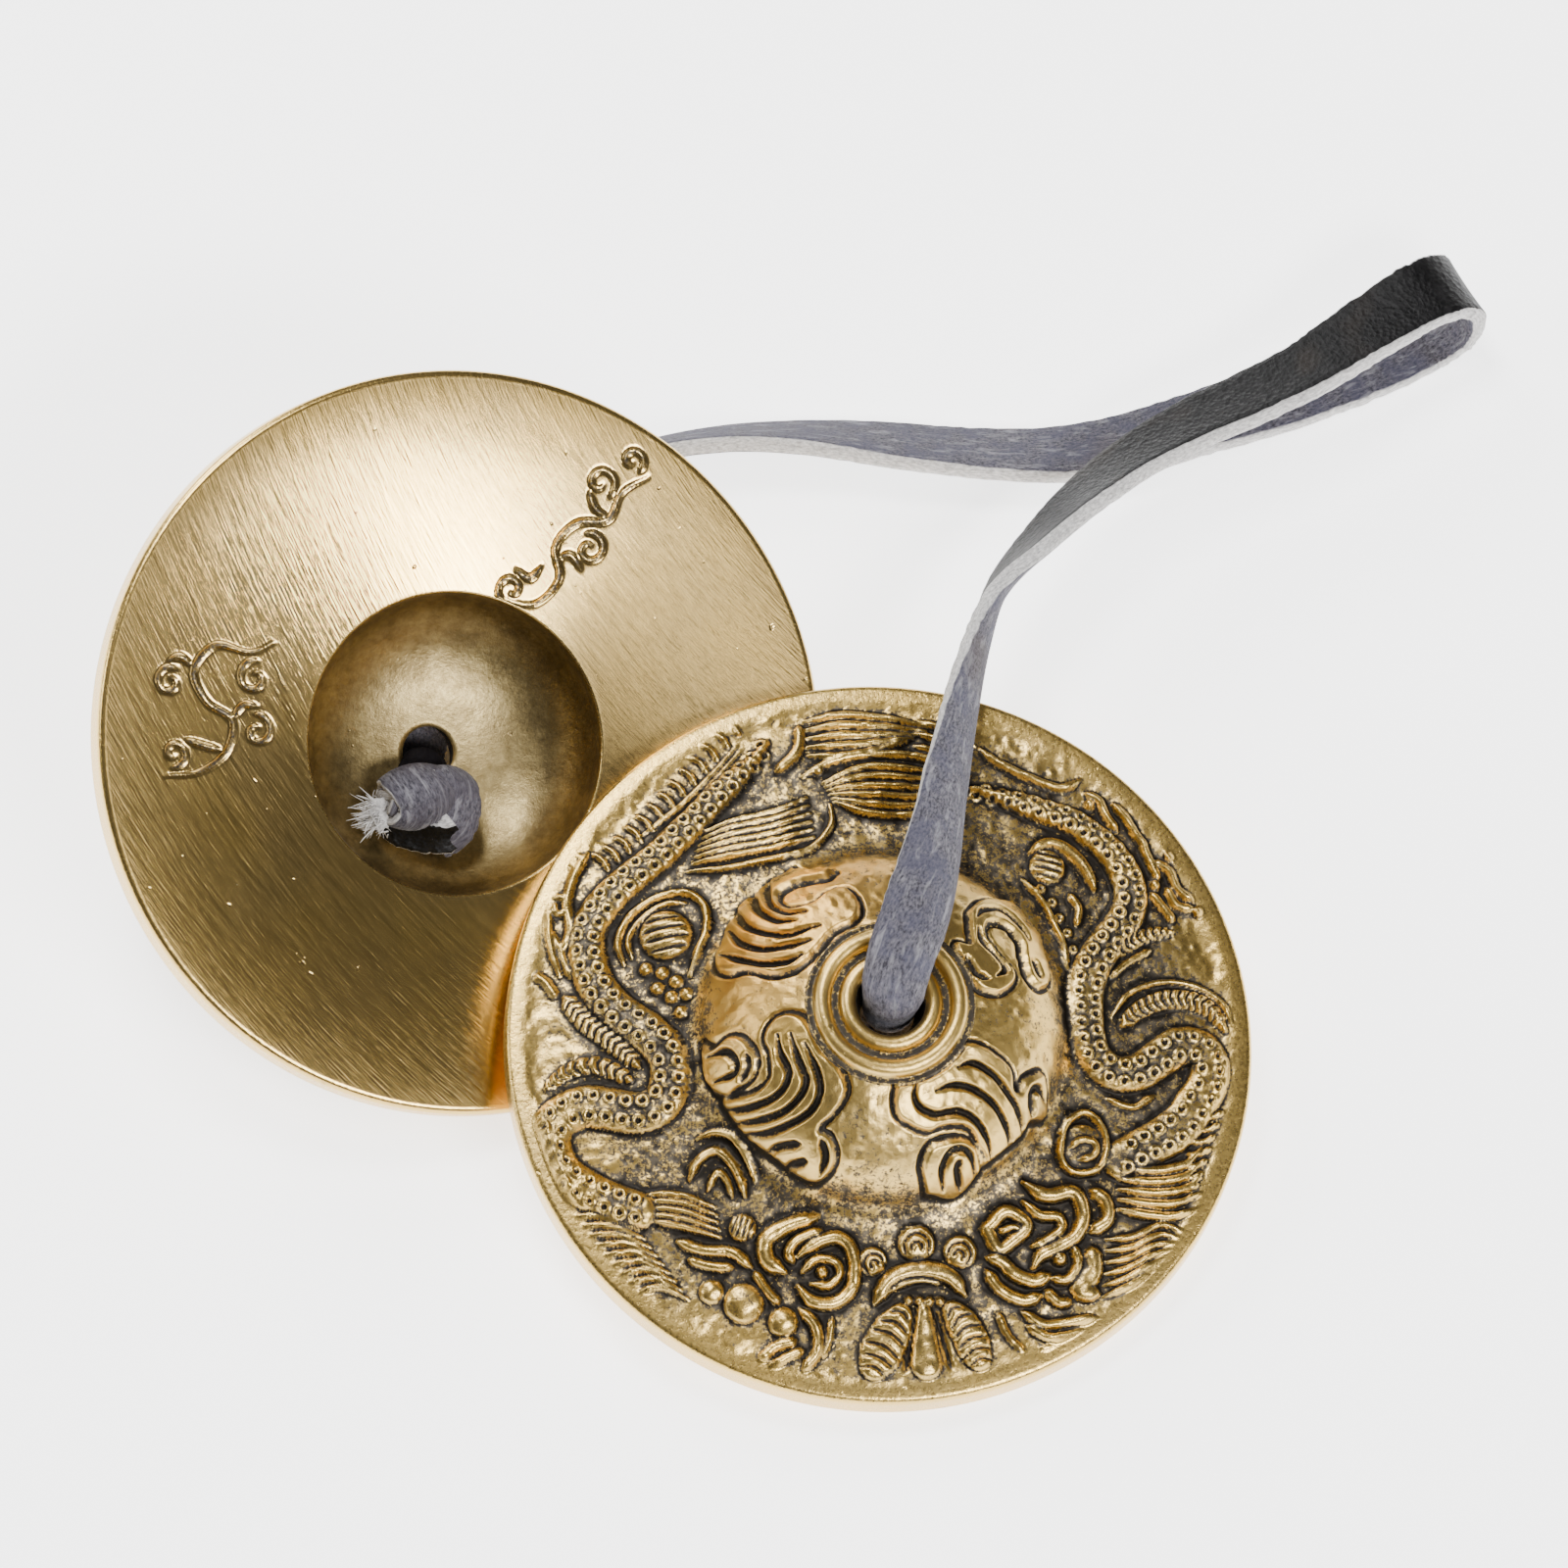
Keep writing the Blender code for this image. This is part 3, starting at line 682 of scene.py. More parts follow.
# Each fan is its number of ridges, their half width and height, and the lines of the first and the last.
FANS = (
    # the top
    (5, 0.4, 0.62, ((-6.6, 28.9), (-3.2, 29.6), (0.6, 29.3), (4.6, 28.6)),
     ((-6.2, 25.6), (-3.4, 25.6), (-0.6, 26.2), (2.4, 27.2))),
    (6, 0.36, 0.62, ((-5.0, 23.0), (-1.4, 24.6), (2.4, 24.6), (5.6, 24.2)),
     ((-4.0, 21.2), (-1.2, 20.2), (2.2, 20.1), (5.4, 20.8))),
    (3, 0.34, 0.5, ((3.4, 29.2), (6.0, 28.4), (8.4, 27.0)),
     ((3.0, 26.8), (5.2, 26.3), (7.4, 25.6))),
    # the left side
    (6, 0.34, 0.72, ((-15.3, 18.3), (-12.3, 19.4), (-9.0, 20.3), (-6.4, 21.6)),
     ((-16.4, 15.3), (-13.4, 15.9), (-9.6, 16.7), (-5.8, 17.9))),
    (3, 0.26, 0.5, ((-20.8, 18.0), (-17.6, 20.6), (-14.6, 23.8), (-12.4, 26.6)),
     ((-18.4, 17.6), (-16.0, 19.9), (-13.9, 22.9), (-11.8, 25.6))),
    # the right side
    (5, 0.46, 0.8, ((20.8, -11.4), (23.8, -11.3), (26.4, -10.6), (28.0, -9.0)),
     ((20.6, -14.9), (23.2, -15.2), (25.6, -15.2), (27.8, -14.4))),
    # the left head
    (9, 0.32, 0.6, ((-26.4, -16.3), (-23.8, -16.5), (-20.9, -17.6)),
     ((-21.2, -23.2), (-19.0, -22.6), (-16.6, -23.6))),
    (5, 0.32, 0.8, ((-20.2, -14.5), (-17.4, -14.6), (-14.4, -15.7)),
     ((-19.8, -16.8), (-17.0, -17.4), (-13.9, -18.3))),
    # the right head
    (6, 0.34, 0.65, ((19.6, -17.6), (22.0, -17.2), (24.4, -16.0), (26.4, -16.6)),
     ((19.4, -22.6), (21.2, -21.8), (23.2, -20.6), (24.6, -19.2))),
)

# Each leaf or crest is its number of grooves, its height, its half widths and its spine.
LEAVES = (
    (12, 0.6, (0.8, 0.9, 0.9, 0.6), ((-27.4, 3.2), (-25.6, 1.0), (-23.2, -1.0), (-21.0, -3.2))),
    (9, 0.55, (0.5, 0.7, 0.8, 0.6), ((-29.0, -5.0), (-27.0, -3.4), (-24.4, -3.0), (-21.6, -4.4))),
    (8, 0.55, (0.5, 0.7, 0.6, 0.4), ((20.6, 8.0), (22.2, 9.4), (24.0, 10.2), (25.6, 10.4))),
    (14, 0.8, (0.6, 0.85, 0.9, 0.8, 0.5), ((20.9, 1.4), (22.4, 2.9), (24.6, 4.0), (27.0, 4.2),
         (29.0, 3.3), (30.2, 1.6))),
    (6, 0.8, (0.7, 1.7, 1.9, 1.0), ((2.0, -24.2), (1.0, -26.2), (0.0, -28.2), (-0.7, -29.9))),
    (6, 0.8, (0.7, 1.4, 1.5, 0.9), ((5.8, -23.9), (7.1, -25.4), (8.1, -27.3), (8.8, -29.0))),
)

# Each knob is its place, its radius, its height and the angle of its hatching, if it has any.
KNOBS = (
    (-18.7, 8.7, 2.3, 1.0, 12),
    (14.5, 15.7, 1.6, 0.95, -8),
    (-12.0, -17.5, 1.2, 0.95, 70),
    (-5.1, -21.3, 0.55, 1.05, None),
    (15.5, -19.5, 0.66, 1.05, None),
)

# Each kind of bump is its radius, height and roundness, and its places.
BUMPS = (
    (0.5, 0.6, 0.5, ((-5.4, 24.3), (6.4, 22.6), (7.4, 23.9))),
    (0.62, 0.6, 0.5, ((-20.4, 5.6), (-19.0, 5.2), (-17.8, 4.4), (-19.4, 3.8), (-18.2, 3.0), (-16.9, 3.2),
         (-17.4, 1.6))),
    (0.5, 0.75, 0.5, ((18.3, 21.8), (24.0, 14.6), (27.8, 12.4), (25.4, 17.4))),
    (0.42, 0.85, 0.5, ((2.4, -23.6), (3.3, -23.6), (4.2, -23.6), (5.1, -23.6))),
    (2.1, 0.55, 0.4, ((17.4, -9.7),)),
    (1.8, 1.0, 0.5, ((-11.8, -24.0),)),
    (1.1, 0.7, 0.5, ((-14.6, -23.0),)),
    (1.35, 0.9, 0.5, ((-8.4, -25.6),)),
)

# Grooves cut in the lotus's leaves, as ridges are.
LOTUS_GROOVES = (
    (0.22, 0.4, ((0.4, -22.9), (1.8, -21.9), (3.6, -21.6), (5.6, -22.1), (6.4, -22.8))),
    (0.24, 0.4, ((3.0, -24.4), (2.7, -27.0), (2.2, -29.8))),
    (0.24, 0.4, ((4.6, -24.2), (5.4, -26.6), (6.2, -29.4))),
)


def draw_tables(mass, detail, cut):
    """All that the tables above list."""
    for widths, points in SERPENTS:
        serpent(mass, detail, cut, points, widths, SERPENT_HEIGHT)
    for width, height, points in RIDGES:
        ridge(mass, width, height, points)
    for width, height, points in HEAD_RIDGES:
        ridge(mass, np.atleast_1d(width) * HEAD_BREADTH, height, points)
    for count, width, height, first, last in FANS:
        fan(mass, first, last, count, width, height)
    for count, height, widths, spine in LEAVES:
        leaf(mass, cut, spine, widths, count, height)
    for x, y, radius, height, hatch_angle in KNOBS:
        knob(mass, cut, x, y, radius, height, hatch_angle)
    for radius, height, roundness, places in BUMPS:
        for x, y in places:
            press(mass, x, y, radius, height, roundness)
    for width, height, points in LOTUS_GROOVES:
        stroke(cut, points, width, height, GROOVE)


def draw_rows(mass, detail, cut):
    """The left side's curls and spines, the right side's fins, and a row of rings on its beast."""
    for curl in ((-26.2, 15.4, 0.9, 60, 0.9), (-28.0, 11.5, 1.0, 120, -1.0)):
        stroke(mass, spiral(*curl), 0.3, 0.6)
    for share in np.linspace(0, 1, 13):
        x, y = -23.6 + 11.4 * share, 14.9 + 12.6 * share**1.15
        stroke(mass, ((x, y), (x - 0.5, y + 0.9), (x - 1.4, y + 1.5)), 0.24, 0.5)
    for share in np.linspace(0, 1, 7):
        x, y = 29.0 - 2.2 * share, -6.2 - 6.6 * share
        stroke(mass, ((x - 1.2, y - 0.2), (x, y), (x + 0.9, y + 0.5)), 0.28, 0.55)
    for x, y in ((13.9, 13.6), (14.9, 12.4), (15.5, 11.0), (16.2, 9.6), (16.7, 8.1)):
        press(detail, x, y, 0.46, 0.55, 0.4)
        press(cut, x, y, 0.24, 0.4, GROOVE)


def draw_lotus(mass, detail, cut):
    """Three round petals with two arches in each, over the flower's cup and stem."""
    for x, y, radius in ((-0.8, -20.3, 1.25), (3.0, -18.7, 1.6), (6.8, -19.3, 1.45)):
        press(mass, x, y, radius, 0.9, 0.4)
        outward = unit(np.array((x - 3.2, y + 27.0)))
        aside = np.array((outward[1], -outward[0]))
        middle = np.array((x, y)) - outward * 0.4
        angles = np.radians((-30, 30, 90, 150, 210))
        arch = [aside * math.cos(a) + outward * 1.15 * math.sin(a) for a in angles]
        for share in (0.72, 0.30):
            stroke(cut, [middle + way * radius * share for way in arch], 0.2, 0.42, GROOVE)
    cup = ((-0.6, -24.0), (0.7, -22.1), (3.2, -21.1), (5.9, -21.5), (7.3, -23.0))
    stroke(mass, cup, (0.5, 1.0, 1.0, 0.5), 1.0, 0.4)
    stroke(mass, ((3.7, -23.6), (3.8, -26.4), (4.1, -29.8)), (0.5, 1.0, 1.5), 0.75, BROAD)


# The dome's clouds are drawn as they look with the cymbal lying in its place and leaning a little away, from
# the middle of its hole. Each is a raised pad with grooves in it.
CLOUDS = (
    ((-4.8, 11.5), (-6.1, 11.8), (-7.3, 11.5), (-8.6, 11.8), (-9.5, 11.1), (-10.7, 10.5), (-11.8, 9.4),
     (-13.3, 8.3), (-13.7, 7.0), (-14.4, 6.0), (-14.8, 4.5), (-15.4, 3.4), (-15.2, 2.3), (-14.1, 1.9),
     (-12.4, 2.3), (-10.3, 1.9), (-8.6, 2.3), (-7.3, 3.2), (-6.1, 4.5), (-4.8, 6.0), (-3.3, 6.8),
     (-2.6, 7.7), (-2.8, 9.0), (-3.9, 10.0), (-5.4, 9.7), (-6.9, 8.6), (-8.6, 8.1), (-9.7, 8.5),
     (-9.5, 9.4), (-7.8, 10.3), (-5.6, 10.8)),
    ((-10.6, -5.0), (-11.1, -3.7), (-10.5, -2.2), (-9.3, -1.4), (-7.8, -1.5), (-6.9, -2.6), (-6.1, -4.4),
     (-4.8, -5.7), (-3.9, -7.2), (-3.9, -8.7), (-5.0, -10.4), (-6.1, -11.6), (-5.2, -12.5), (-4.8, -14.0),
     (-5.2, -15.5), (-6.5, -16.6), (-8.2, -16.2), (-10.3, -14.5), (-12.4, -13.0), (-13.9, -11.0),
     (-14.8, -9.4), (-13.5, -8.9), (-12.0, -8.5), (-10.6, -7.2)),
    ((-16.7, -4.4), (-15.4, -4.6), (-14.1, -3.5), (-12.7, -3.7), (-11.7, -5.2), (-11.9, -6.9),
     (-13.1, -8.2), (-14.6, -9.1), (-16.3, -7.6)),
    ((0.4, -7.4), (0.1, -8.9), (0.4, -10.4), (1.4, -11.2), (3.1, -11.8), (4.6, -11.2), (6.7, -11.5),
     (7.6, -14.5), (9.0, -13.8), (11.0, -12.1), (11.8, -10.8), (13.0, -10.6), (13.3, -8.0), (12.9, -6.1),
     (11.4, -6.7), (10.6, -7.8), (10.3, -5.9), (8.8, -4.4), (6.9, -3.6), (5.6, -4.2), (4.6, -5.7),
     (2.7, -6.8)),
    ((2.7, -17.5), (2.4, -14.9), (3.1, -13.0), (4.4, -12.3), (6.1, -12.2), (7.3, -13.0), (7.8, -14.5),
     (6.7, -16.4), (5.0, -17.9)),
    ((6.5, 8.1), (7.6, 9.2), (9.3, 9.2), (11.0, 8.3), (12.2, 6.6), (13.1, 4.5), (13.6, 1.9), (12.7, 1.2),
     (11.6, 2.3), (11.2, 4.0), (10.9, 5.5), (9.7, 6.8), (8.4, 7.0), (8.2, 6.0), (9.3, 4.5), (10.6, 2.9),
     (10.6, 1.7), (9.3, 0.7), (7.6, 1.0), (6.5, 2.3), (5.4, 4.5), (5.6, 5.5), (6.7, 5.3), (6.6, 6.6)),
)

CLOUD_GROOVES = (
    ((-12.0, 9.2), (-11.5, 7.7), (-9.9, 6.8), (-8.2, 6.8)),
    ((-13.4, 7.7), (-12.7, 6.4), (-11.2, 5.7), (-9.0, 5.5), (-6.9, 6.2), (-6.1, 6.4)),
    ((-13.9, 5.7), (-12.9, 4.7), (-11.0, 4.2), (-8.8, 4.5), (-6.9, 5.1)),
    ((-14.6, 3.6), (-12.9, 3.2), (-11.0, 2.9), (-9.0, 3.1), (-7.6, 3.8)),
    ((-10.5, 10.3), (-10.7, 9.2), (-10.3, 8.1), (-9.0, 7.5), (-7.3, 7.6)),
    ((-7.4, -4.0), (-6.5, -6.2), (-6.1, -8.2), (-6.9, -10.0), (-8.6, -11.2), (-10.7, -12.1),
     (-12.7, -12.3)),
    ((-8.6, -3.2), (-8.0, -5.4), (-7.3, -7.2), (-7.8, -8.7), (-9.3, -10.2), (-11.4, -11.0),
     (-13.5, -11.4)),
    ((-9.7, -3.3), (-9.5, -5.0), (-8.8, -6.7), (-9.3, -8.2), (-10.7, -9.3), (-12.7, -10.0),
     (-14.4, -10.2)),
    ((-7.8, -13.0), (-9.3, -13.2), (-10.7, -13.8)),
    ((-7.3, -14.5), (-8.2, -14.8), (-9.3, -15.3)),
    ((-6.1, -12.5), (-5.7, -14.0), (-6.1, -15.5)),
    ((-15.6, -5.4), (-14.1, -5.0), (-13.3, -5.9), (-13.5, -6.9), (-15.0, -7.6)),
    ((-12.4, -5.0), (-12.3, -6.3), (-12.9, -7.6)),
    ((2.1, -7.4), (1.9, -8.5), (2.4, -9.5), (3.7, -10.1), (5.6, -9.8), (7.0, -10.5), (8.0, -12.1),
     (8.3, -13.8)),
    ((3.7, -8.0), (5.2, -7.5), (6.9, -7.8), (8.6, -9.1), (9.7, -11.2), (9.9, -13.2)),
    ((5.6, -5.9), (6.9, -5.5), (8.6, -6.5), (9.9, -8.2), (10.7, -9.7), (11.0, -11.9)),
    ((11.8, -10.0), (11.8, -8.2), (12.4, -7.6), (12.9, -8.7)),
    ((4.2, -16.6), (4.2, -14.9), (5.0, -13.4), (6.0, -13.1), (6.7, -13.8), (6.9, -15.3)),
    ((5.6, -16.6), (5.5, -14.9), (5.8, -14.1)),
    ((7.3, 7.5), (7.8, 8.1), (9.3, 8.1), (10.7, 7.0), (11.6, 5.5)),
    ((7.4, 6.6), (7.8, 5.3), (9.1, 4.0), (9.7, 2.9), (9.0, 2.3)),
    ((6.3, 4.0), (7.2, 2.5), (8.3, 2.0)),
    ((12.0, 3.8), (12.6, 2.2)),
)

# How far places on the leaning dome look shifted for each millimetre that they lie below its land.
LEAN_SHIFT = np.array((0.096, 0.299))


def dome_height(r):
    return DOME_FOOT + DOME_RISE * np.sqrt(np.clip(1 - (r / DOME_RADIUS) ** 2, 0, 1))


def flattened(points):
    """Places drawn on the leaning dome, moved to where they lie on the plan."""
    drawn = np.array(points, float)
    plan = drawn.copy()
    for _ in range(12):
        below = LAND_HEIGHT - dome_height(np.linalg.norm(plan, axis=1))
        plan = 0.5 * plan + 0.5 * (drawn + below[:, None] * LEAN_SHIFT)
    return plan


def pad(plan, outline, height):
    """A flat raised area within a smooth closed line."""
    line = curve([*outline, outline[0]], 0.3)
    c0, r0 = np.maximum(((line.min(axis=0) + HALF) / CELL).astype(int) - 1, 0)
    c1, r1 = np.minimum(((line.max(axis=0) + HALF) / CELL).astype(int) + 2, SIDE)
    xs = (np.arange(c0, c1) * CELL - HALF)[None, :]
    ys = (np.arange(r0, r1) * CELL - HALF)[:, None]
    inside = np.zeros((r1 - r0, c1 - c0), bool)
    for (x0, y0), (x1, y1) in zip(line, np.roll(line, -1, axis=0)):
        if y0 == y1:
            continue
        crosses = (y0 > ys) != (y1 > ys)
        inside ^= crosses & (xs < x0 + (ys - y0) * (x1 - x0) / (y1 - y0))
    window = plan[r0:r1, c0:c1]
    np.maximum(window, inside * height, out=window)


def draw_dome(mass, detail, cut):
    """The clouds, each with a groove round it."""
    clouds = new_plan()
    for outline in CLOUDS:
        pad(clouds, flattened(outline), 0.55)
    np.maximum(mass, blurred(clouds, 4), out=mass)
    for outline in CLOUDS:
        stroke(cut, flattened([*outline, outline[0]]), 0.34, 0.34, GROOVE, taper=(0, 0))
    for line in CLOUD_GROOVES:
        stroke(cut, flattened(line), 0.38, 0.60, GROOVE, taper=(0.2, 0.2))


def blurred(plan, reach):
    """Mean over a square window of 2 reach + 1 cells."""
    size = 2 * reach + 1
    for axis in (0, 1):
        padded = np.pad(plan, [(reach + 1, reach) if a == axis else (0, 0) for a in (0, 1)], mode="edge")
        total = np.cumsum(padded, axis=axis, dtype=np.float64)
        ahead = np.take(total, range(size, total.shape[axis]), axis)
        behind = np.take(total, range(total.shape[axis] - size), axis)
        plan = (ahead - behind) / size
    return plan


def speckle(seed, coarse, size):
    """Smooth random mounds, coarse cells apart, as an uneven casting has."""
    source = np.random.default_rng(seed)
    count = SIDE // coarse + 3
    knots = source.normal(0, size, (count, count))
    at = np.arange(SIDE) / coarse
    rows = np.array([np.interp(at, np.arange(count), line) for line in knots])
    return np.array([np.interp(at, np.arange(count), rows[:, k]) for k in range(SIDE)]).T


def relief_plan():
    """Height of the domed side's relief in millimetres, and how polished each place is, from 0 to 1."""
    mass, detail, cut = new_plan(), new_plan(), new_plan()
    for draw in (draw_tables, draw_rows, draw_lotus, draw_dome):
        draw(mass, detail, cut)
    height = blurred(mass + detail - cut, 1)
    height = height + speckle(5, 9, 0.035) + speckle(6, 26, 0.05)
    open_to_touch = height - blurred(blurred(height, 8), 8)
    close = height - blurred(height, 3)
    away = np.arange(SIDE) * CELL - HALF
    reach = np.hypot(away[None, :], away[:, None])
    on_dome = np.clip((15.4 - reach) / 0.8, 0, 1)
    at_rim = np.clip((reach - 25.0) / 4.5, 0, 1)
    patches = speckle(9, 40, 0.08) + speckle(10, 14, 0.04)
    plain = 0.36 + patches + 0.40 * on_dome + 0.38 * at_rim
    return height, np.clip(plain + open_to_touch / 0.36 + close / 0.13, 0, 1)


# The engraved flourishes: stems as points, and curls as place, radius, starting angle and turns.
STEMS = (
    ((4.4, 12.6), (7.2, 12.4), (9.2, 14.6), (8.8, 17.4), (10.6, 19.4), (13.4, 19.8), (14.6, 22.2),
     (17.0, 23.6)),
    ((5.2, 15.4), (6.6, 14.6), (7.6, 15.6)),
    ((11.2, 15.4), (10.2, 16.6), (9.0, 16.4)),
    ((11.6, 22.2), (12.2, 20.8), (13.4, 19.9)),
    ((-16.4, 8.4), (-18.6, 7.4), (-21.8, 7.9), (-23.8, 5.6), (-22.6, 3.0), (-20.2, 1.4), (-20.8, -1.4),
     (-23.4, -3.2), (-26.4, -3.6)),
    ((-26.2, 6.4), (-25.0, 6.8), (-23.9, 6.0)),
    ((-18.0, 2.8), (-19.2, 2.8), (-20.1, 1.7)),
    ((-24.6, -0.4), (-23.0, -0.8), (-21.2, -1.2)),
)
CURLS = (
    (5.0, 13.6, 1.4, 270, -1.1),
    (11.8, 17.2, 1.5, 110, -1.2),
    (12.6, 23.0, 1.5, 300, 1.1),
    (15.4, 25.0, 1.2, 300, 1.0),
    (-18.2, 5.2, 1.6, 80, 1.1),
    (-26.0, 4.6, 1.4, 60, 1.1),
    (-17.9, 0.6, 1.5, 100, -1.1),
    (-25.6, -1.6, 1.3, 260, 1.1),
)


def engraved_plan():
    """Depth of the two flourishes on the hollow side, in millimetres."""
    cut = new_plan()
    for stem in STEMS:
        stroke(cut, stem, 0.30, 0.34, 0.8, taper=(0.25, 0.25))
    for curl in CURLS:
        stroke(cut, spiral(*curl), 0.26, 0.30, 0.8, taper=(0.1, 0.2))
    return blurred(cut, 1)


def sampled(plan, x, y):
    """The plan's value at places in millimetres."""
    column = np.clip((x + HALF) / CELL, 0, SIDE - 1.001)
    row = np.clip((y + HALF) / CELL, 0, SIDE - 1.001)
    c, r = column.astype(int), row.astype(int)
    fc, fr = column - c, row - r
    top = plan[r, c] * (1 - fc) + plan[r, c + 1] * fc
    bottom = plan[r + 1, c] * (1 - fc) + plan[r + 1, c + 1] * fc
    return top * (1 - fr) + bottom * fr


# ---------------------------------------------------------------- one cymbal, in its own frame in millimetres


def ring_height(r):
    """The two raised rounds about the hole's mouth."""
    inner = np.clip(1 - ((r - 3.75) / 0.75) ** 2, 0, 1) ** 0.5
    outer = np.clip(1 - ((r - 5.95) / 0.80) ** 2, 0, 1) ** 0.5
    return LAND_HEIGHT - 0.85 + 0.75 * inner + 0.85 * outer


def outer_profile():
    """Down the domed side from the hole to the rim: radius, height and how far the relief shows."""
    rows = []
    for t in np.linspace(0, 1, 10):
        radius = HOLE_RADIUS + (MOUTH_RADIUS - HOLE_RADIUS) * t
        rows.append((radius, ROOF_DEPTH + (MOUTH_HEIGHT - ROOF_DEPTH) * t, 0))
    for r in np.linspace(MOUTH_RADIUS + 0.05, RING_EDGE, 46):
        rows.append((r, float(ring_height(r)), 0))
    start = math.acos(RING_EDGE / DOME_RADIUS)
    for a in np.linspace(start, math.radians(9), 84):
        rows.append((DOME_RADIUS * math.cos(a), DOME_FOOT + DOME_RISE * math.sin(a) - 0.12, 1))
    foot_r, foot_h = rows[-1][0], rows[-1][1]
    field_start = DOME_RADIUS + FOOT_BREADTH
    for t in np.linspace(0, 1, 14)[1:]:
        s = 1 - t
        r = foot_r * s * s + 2 * s * t * (DOME_RADIUS + 0.1) + t * t * field_start
        h = foot_h * s * s + 2 * s * t * (DOME_FOOT - 0.35) + t * t * flange_height(field_start)
        rows.append((r, h, 1))
    for r in np.linspace(field_start, FIELD_EDGE, 94)[1:]:
        rows.append((r, flange_height(r), float(np.clip((FIELD_EDGE - r) / 0.8, 0, 1))))
    for r in np.linspace(FIELD_EDGE, RIM_RADIUS - ROUND, 5)[1:]:
        rows.append((r, flange_height(r), 0))
    for a in np.linspace(math.pi / 2, 0, 6)[1:]:
        rows.append((*rim_corner(a, RIM_THICKNESS - ROUND), 0))
    return rows


def rim_corner(angle, height):
    """A place on a rounded corner of the rim, with its middle at this height."""
    return RIM_RADIUS - ROUND + ROUND * math.cos(angle), height + ROUND * math.sin(angle)


def flange_height(r):
    """The flange falls to the rim, and its field lies a little lower than the plain band round the rim."""
    share = (r - DOME_RADIUS) / (RIM_RADIUS - ROUND - DOME_RADIUS)
    plain = DOME_FOOT + (RIM_THICKNESS - DOME_FOOT) * share
    sunk = 0.42 / (1 + math.exp((r - 30.4) / 0.40))
    return plain - sunk


def hollow_profile():
    """From the rim's wall across the hollow side and up the bell: radius, height, hollow and bell zones."""
    rows = [(RIM_RADIUS, h, 0, 0) for h in np.linspace(RIM_THICKNESS - ROUND, ROUND, 5)[1:]]
    for a in np.linspace(0, -math.pi / 2, 6)[1:]:
        rows.append((*rim_corner(a, ROUND), 0.5, 0))
    outer = RIM_RADIUS - ROUND
    for t in np.linspace(0, 1, 84)[1:]:
        rows.append((outer + (LIP_RADIUS + LIP_ROUND - outer) * t, LIP_DEPTH * t**1.3, 1, 0))
    for a in np.radians((20, 45, 70)):
        radius = LIP_RADIUS + LIP_ROUND - LIP_ROUND * math.sin(a)
        rows.append((radius, LIP_DEPTH + LIP_ROUND * (1 - math.cos(a)), 0.6, 0.4))
    power = 2 / 2.6
    last = math.acos((HOLE_RADIUS / LIP_RADIUS) ** (1 / power))
    for a in np.linspace(0.03, last, 48):
        rise = (ROOF_DEPTH - LIP_DEPTH - 0.2) * math.sin(a) ** power
        rows.append((LIP_RADIUS * math.cos(a) ** power, LIP_DEPTH + 0.2 + rise, 0, 1))
    return rows


def section_columns():
    """Columns of radius, height, relief shown, hollow zone and bell zone, once round a cymbal's section."""
    outside = [(r, h, shows, 0, 0) for r, h, shows in outer_profile()]
    inside = [(r, h, 0, hollow, bell) for r, h, hollow, bell in hollow_profile()]
    return np.array(outside + inside, float).T[:, :, None], len(outside)


def cymbal_mesh(name):
    (radius, height, shows, hollow, bell), outside_count = section_columns()
    section = np.hstack([radius, height])
    slope = np.roll(section, -1, axis=0) - np.roll(section, 1, axis=0)
    normal = unit(np.stack([-slope[:, 1], slope[:, 0]], axis=1))
    angles = np.linspace(0, 2 * math.pi, TURNS, endpoint=False)
    cos, sin = np.cos(angles)[None, :], np.sin(angles)[None, :]
    x, y = radius * cos, radius * sin

    relief, polish = relief_plan()
    engraved = sampled(engraved_plan(), x, -y)
    on_disc = hollow > 0.9
    wear = (1 + (sampled(polish, x, y) - 1) * shows) * ring_dark(radius, height)
    wear = np.where(on_disc, 1 - 0.62 * np.clip(engraved / 0.22, 0, 1), wear)
    lift = sampled(relief, x, y) * shows - engraved * on_disc + uneven_casting(radius, angles, bell)
    out_r = radius + normal[:, 0:1] * lift
    out_h = height + normal[:, 1:2] * lift
    vertices = np.stack([out_r * cos, out_r * sin, out_h], axis=-1).reshape(-1, 3) * MM

    quads = grid_quads(len(radius))
    mesh = mesh_of_quads(name, vertices, quads)
    columns = {"wear": wear, "hollow": hollow, "bell": bell, "domed": shows}
    for attribute, values in columns.items():
        put_attribute(mesh, attribute, "FLOAT", (values * np.ones((1, TURNS))).ravel())
    put_attribute(mesh, "plan", "FLOAT_VECTOR", vertices)
    lay_out(mesh, radius[:, 0], outside_count, quads)
    return mesh


def grid_quads(count):
    """Faces between count rings of TURNS points, closed both ways round."""
    i, j = np.meshgrid(np.arange(count), np.arange(TURNS), indexing="ij")
    i2, j2 = (i + 1) % count, (j + 1) % TURNS
    corners = [i * TURNS + j, i2 * TURNS + j, i2 * TURNS + j2, i * TURNS + j2]
    return np.stack(corners, axis=-1).reshape(-1, 4)


def mesh_of_quads(name, vertices, quads):
    mesh = bpy.data.meshes.new(name)
    mesh.vertices.add(len(vertices))
    mesh.vertices.foreach_set("co", vertices.astype(np.float32).ravel())
    mesh.loops.add(quads.size)
    mesh.loops.foreach_set("vertex_index", quads.astype(np.int32).ravel())
    mesh.polygons.add(len(quads))
    mesh.polygons.foreach_set("loop_start", np.arange(0, quads.size, 4, dtype=np.int32))
    mesh.polygons.foreach_set("loop_total", np.full(len(quads), 4, dtype=np.int32))
    mesh.update(calc_edges=True)
    mesh.validate()
    mesh.shade_smooth()
    return mesh


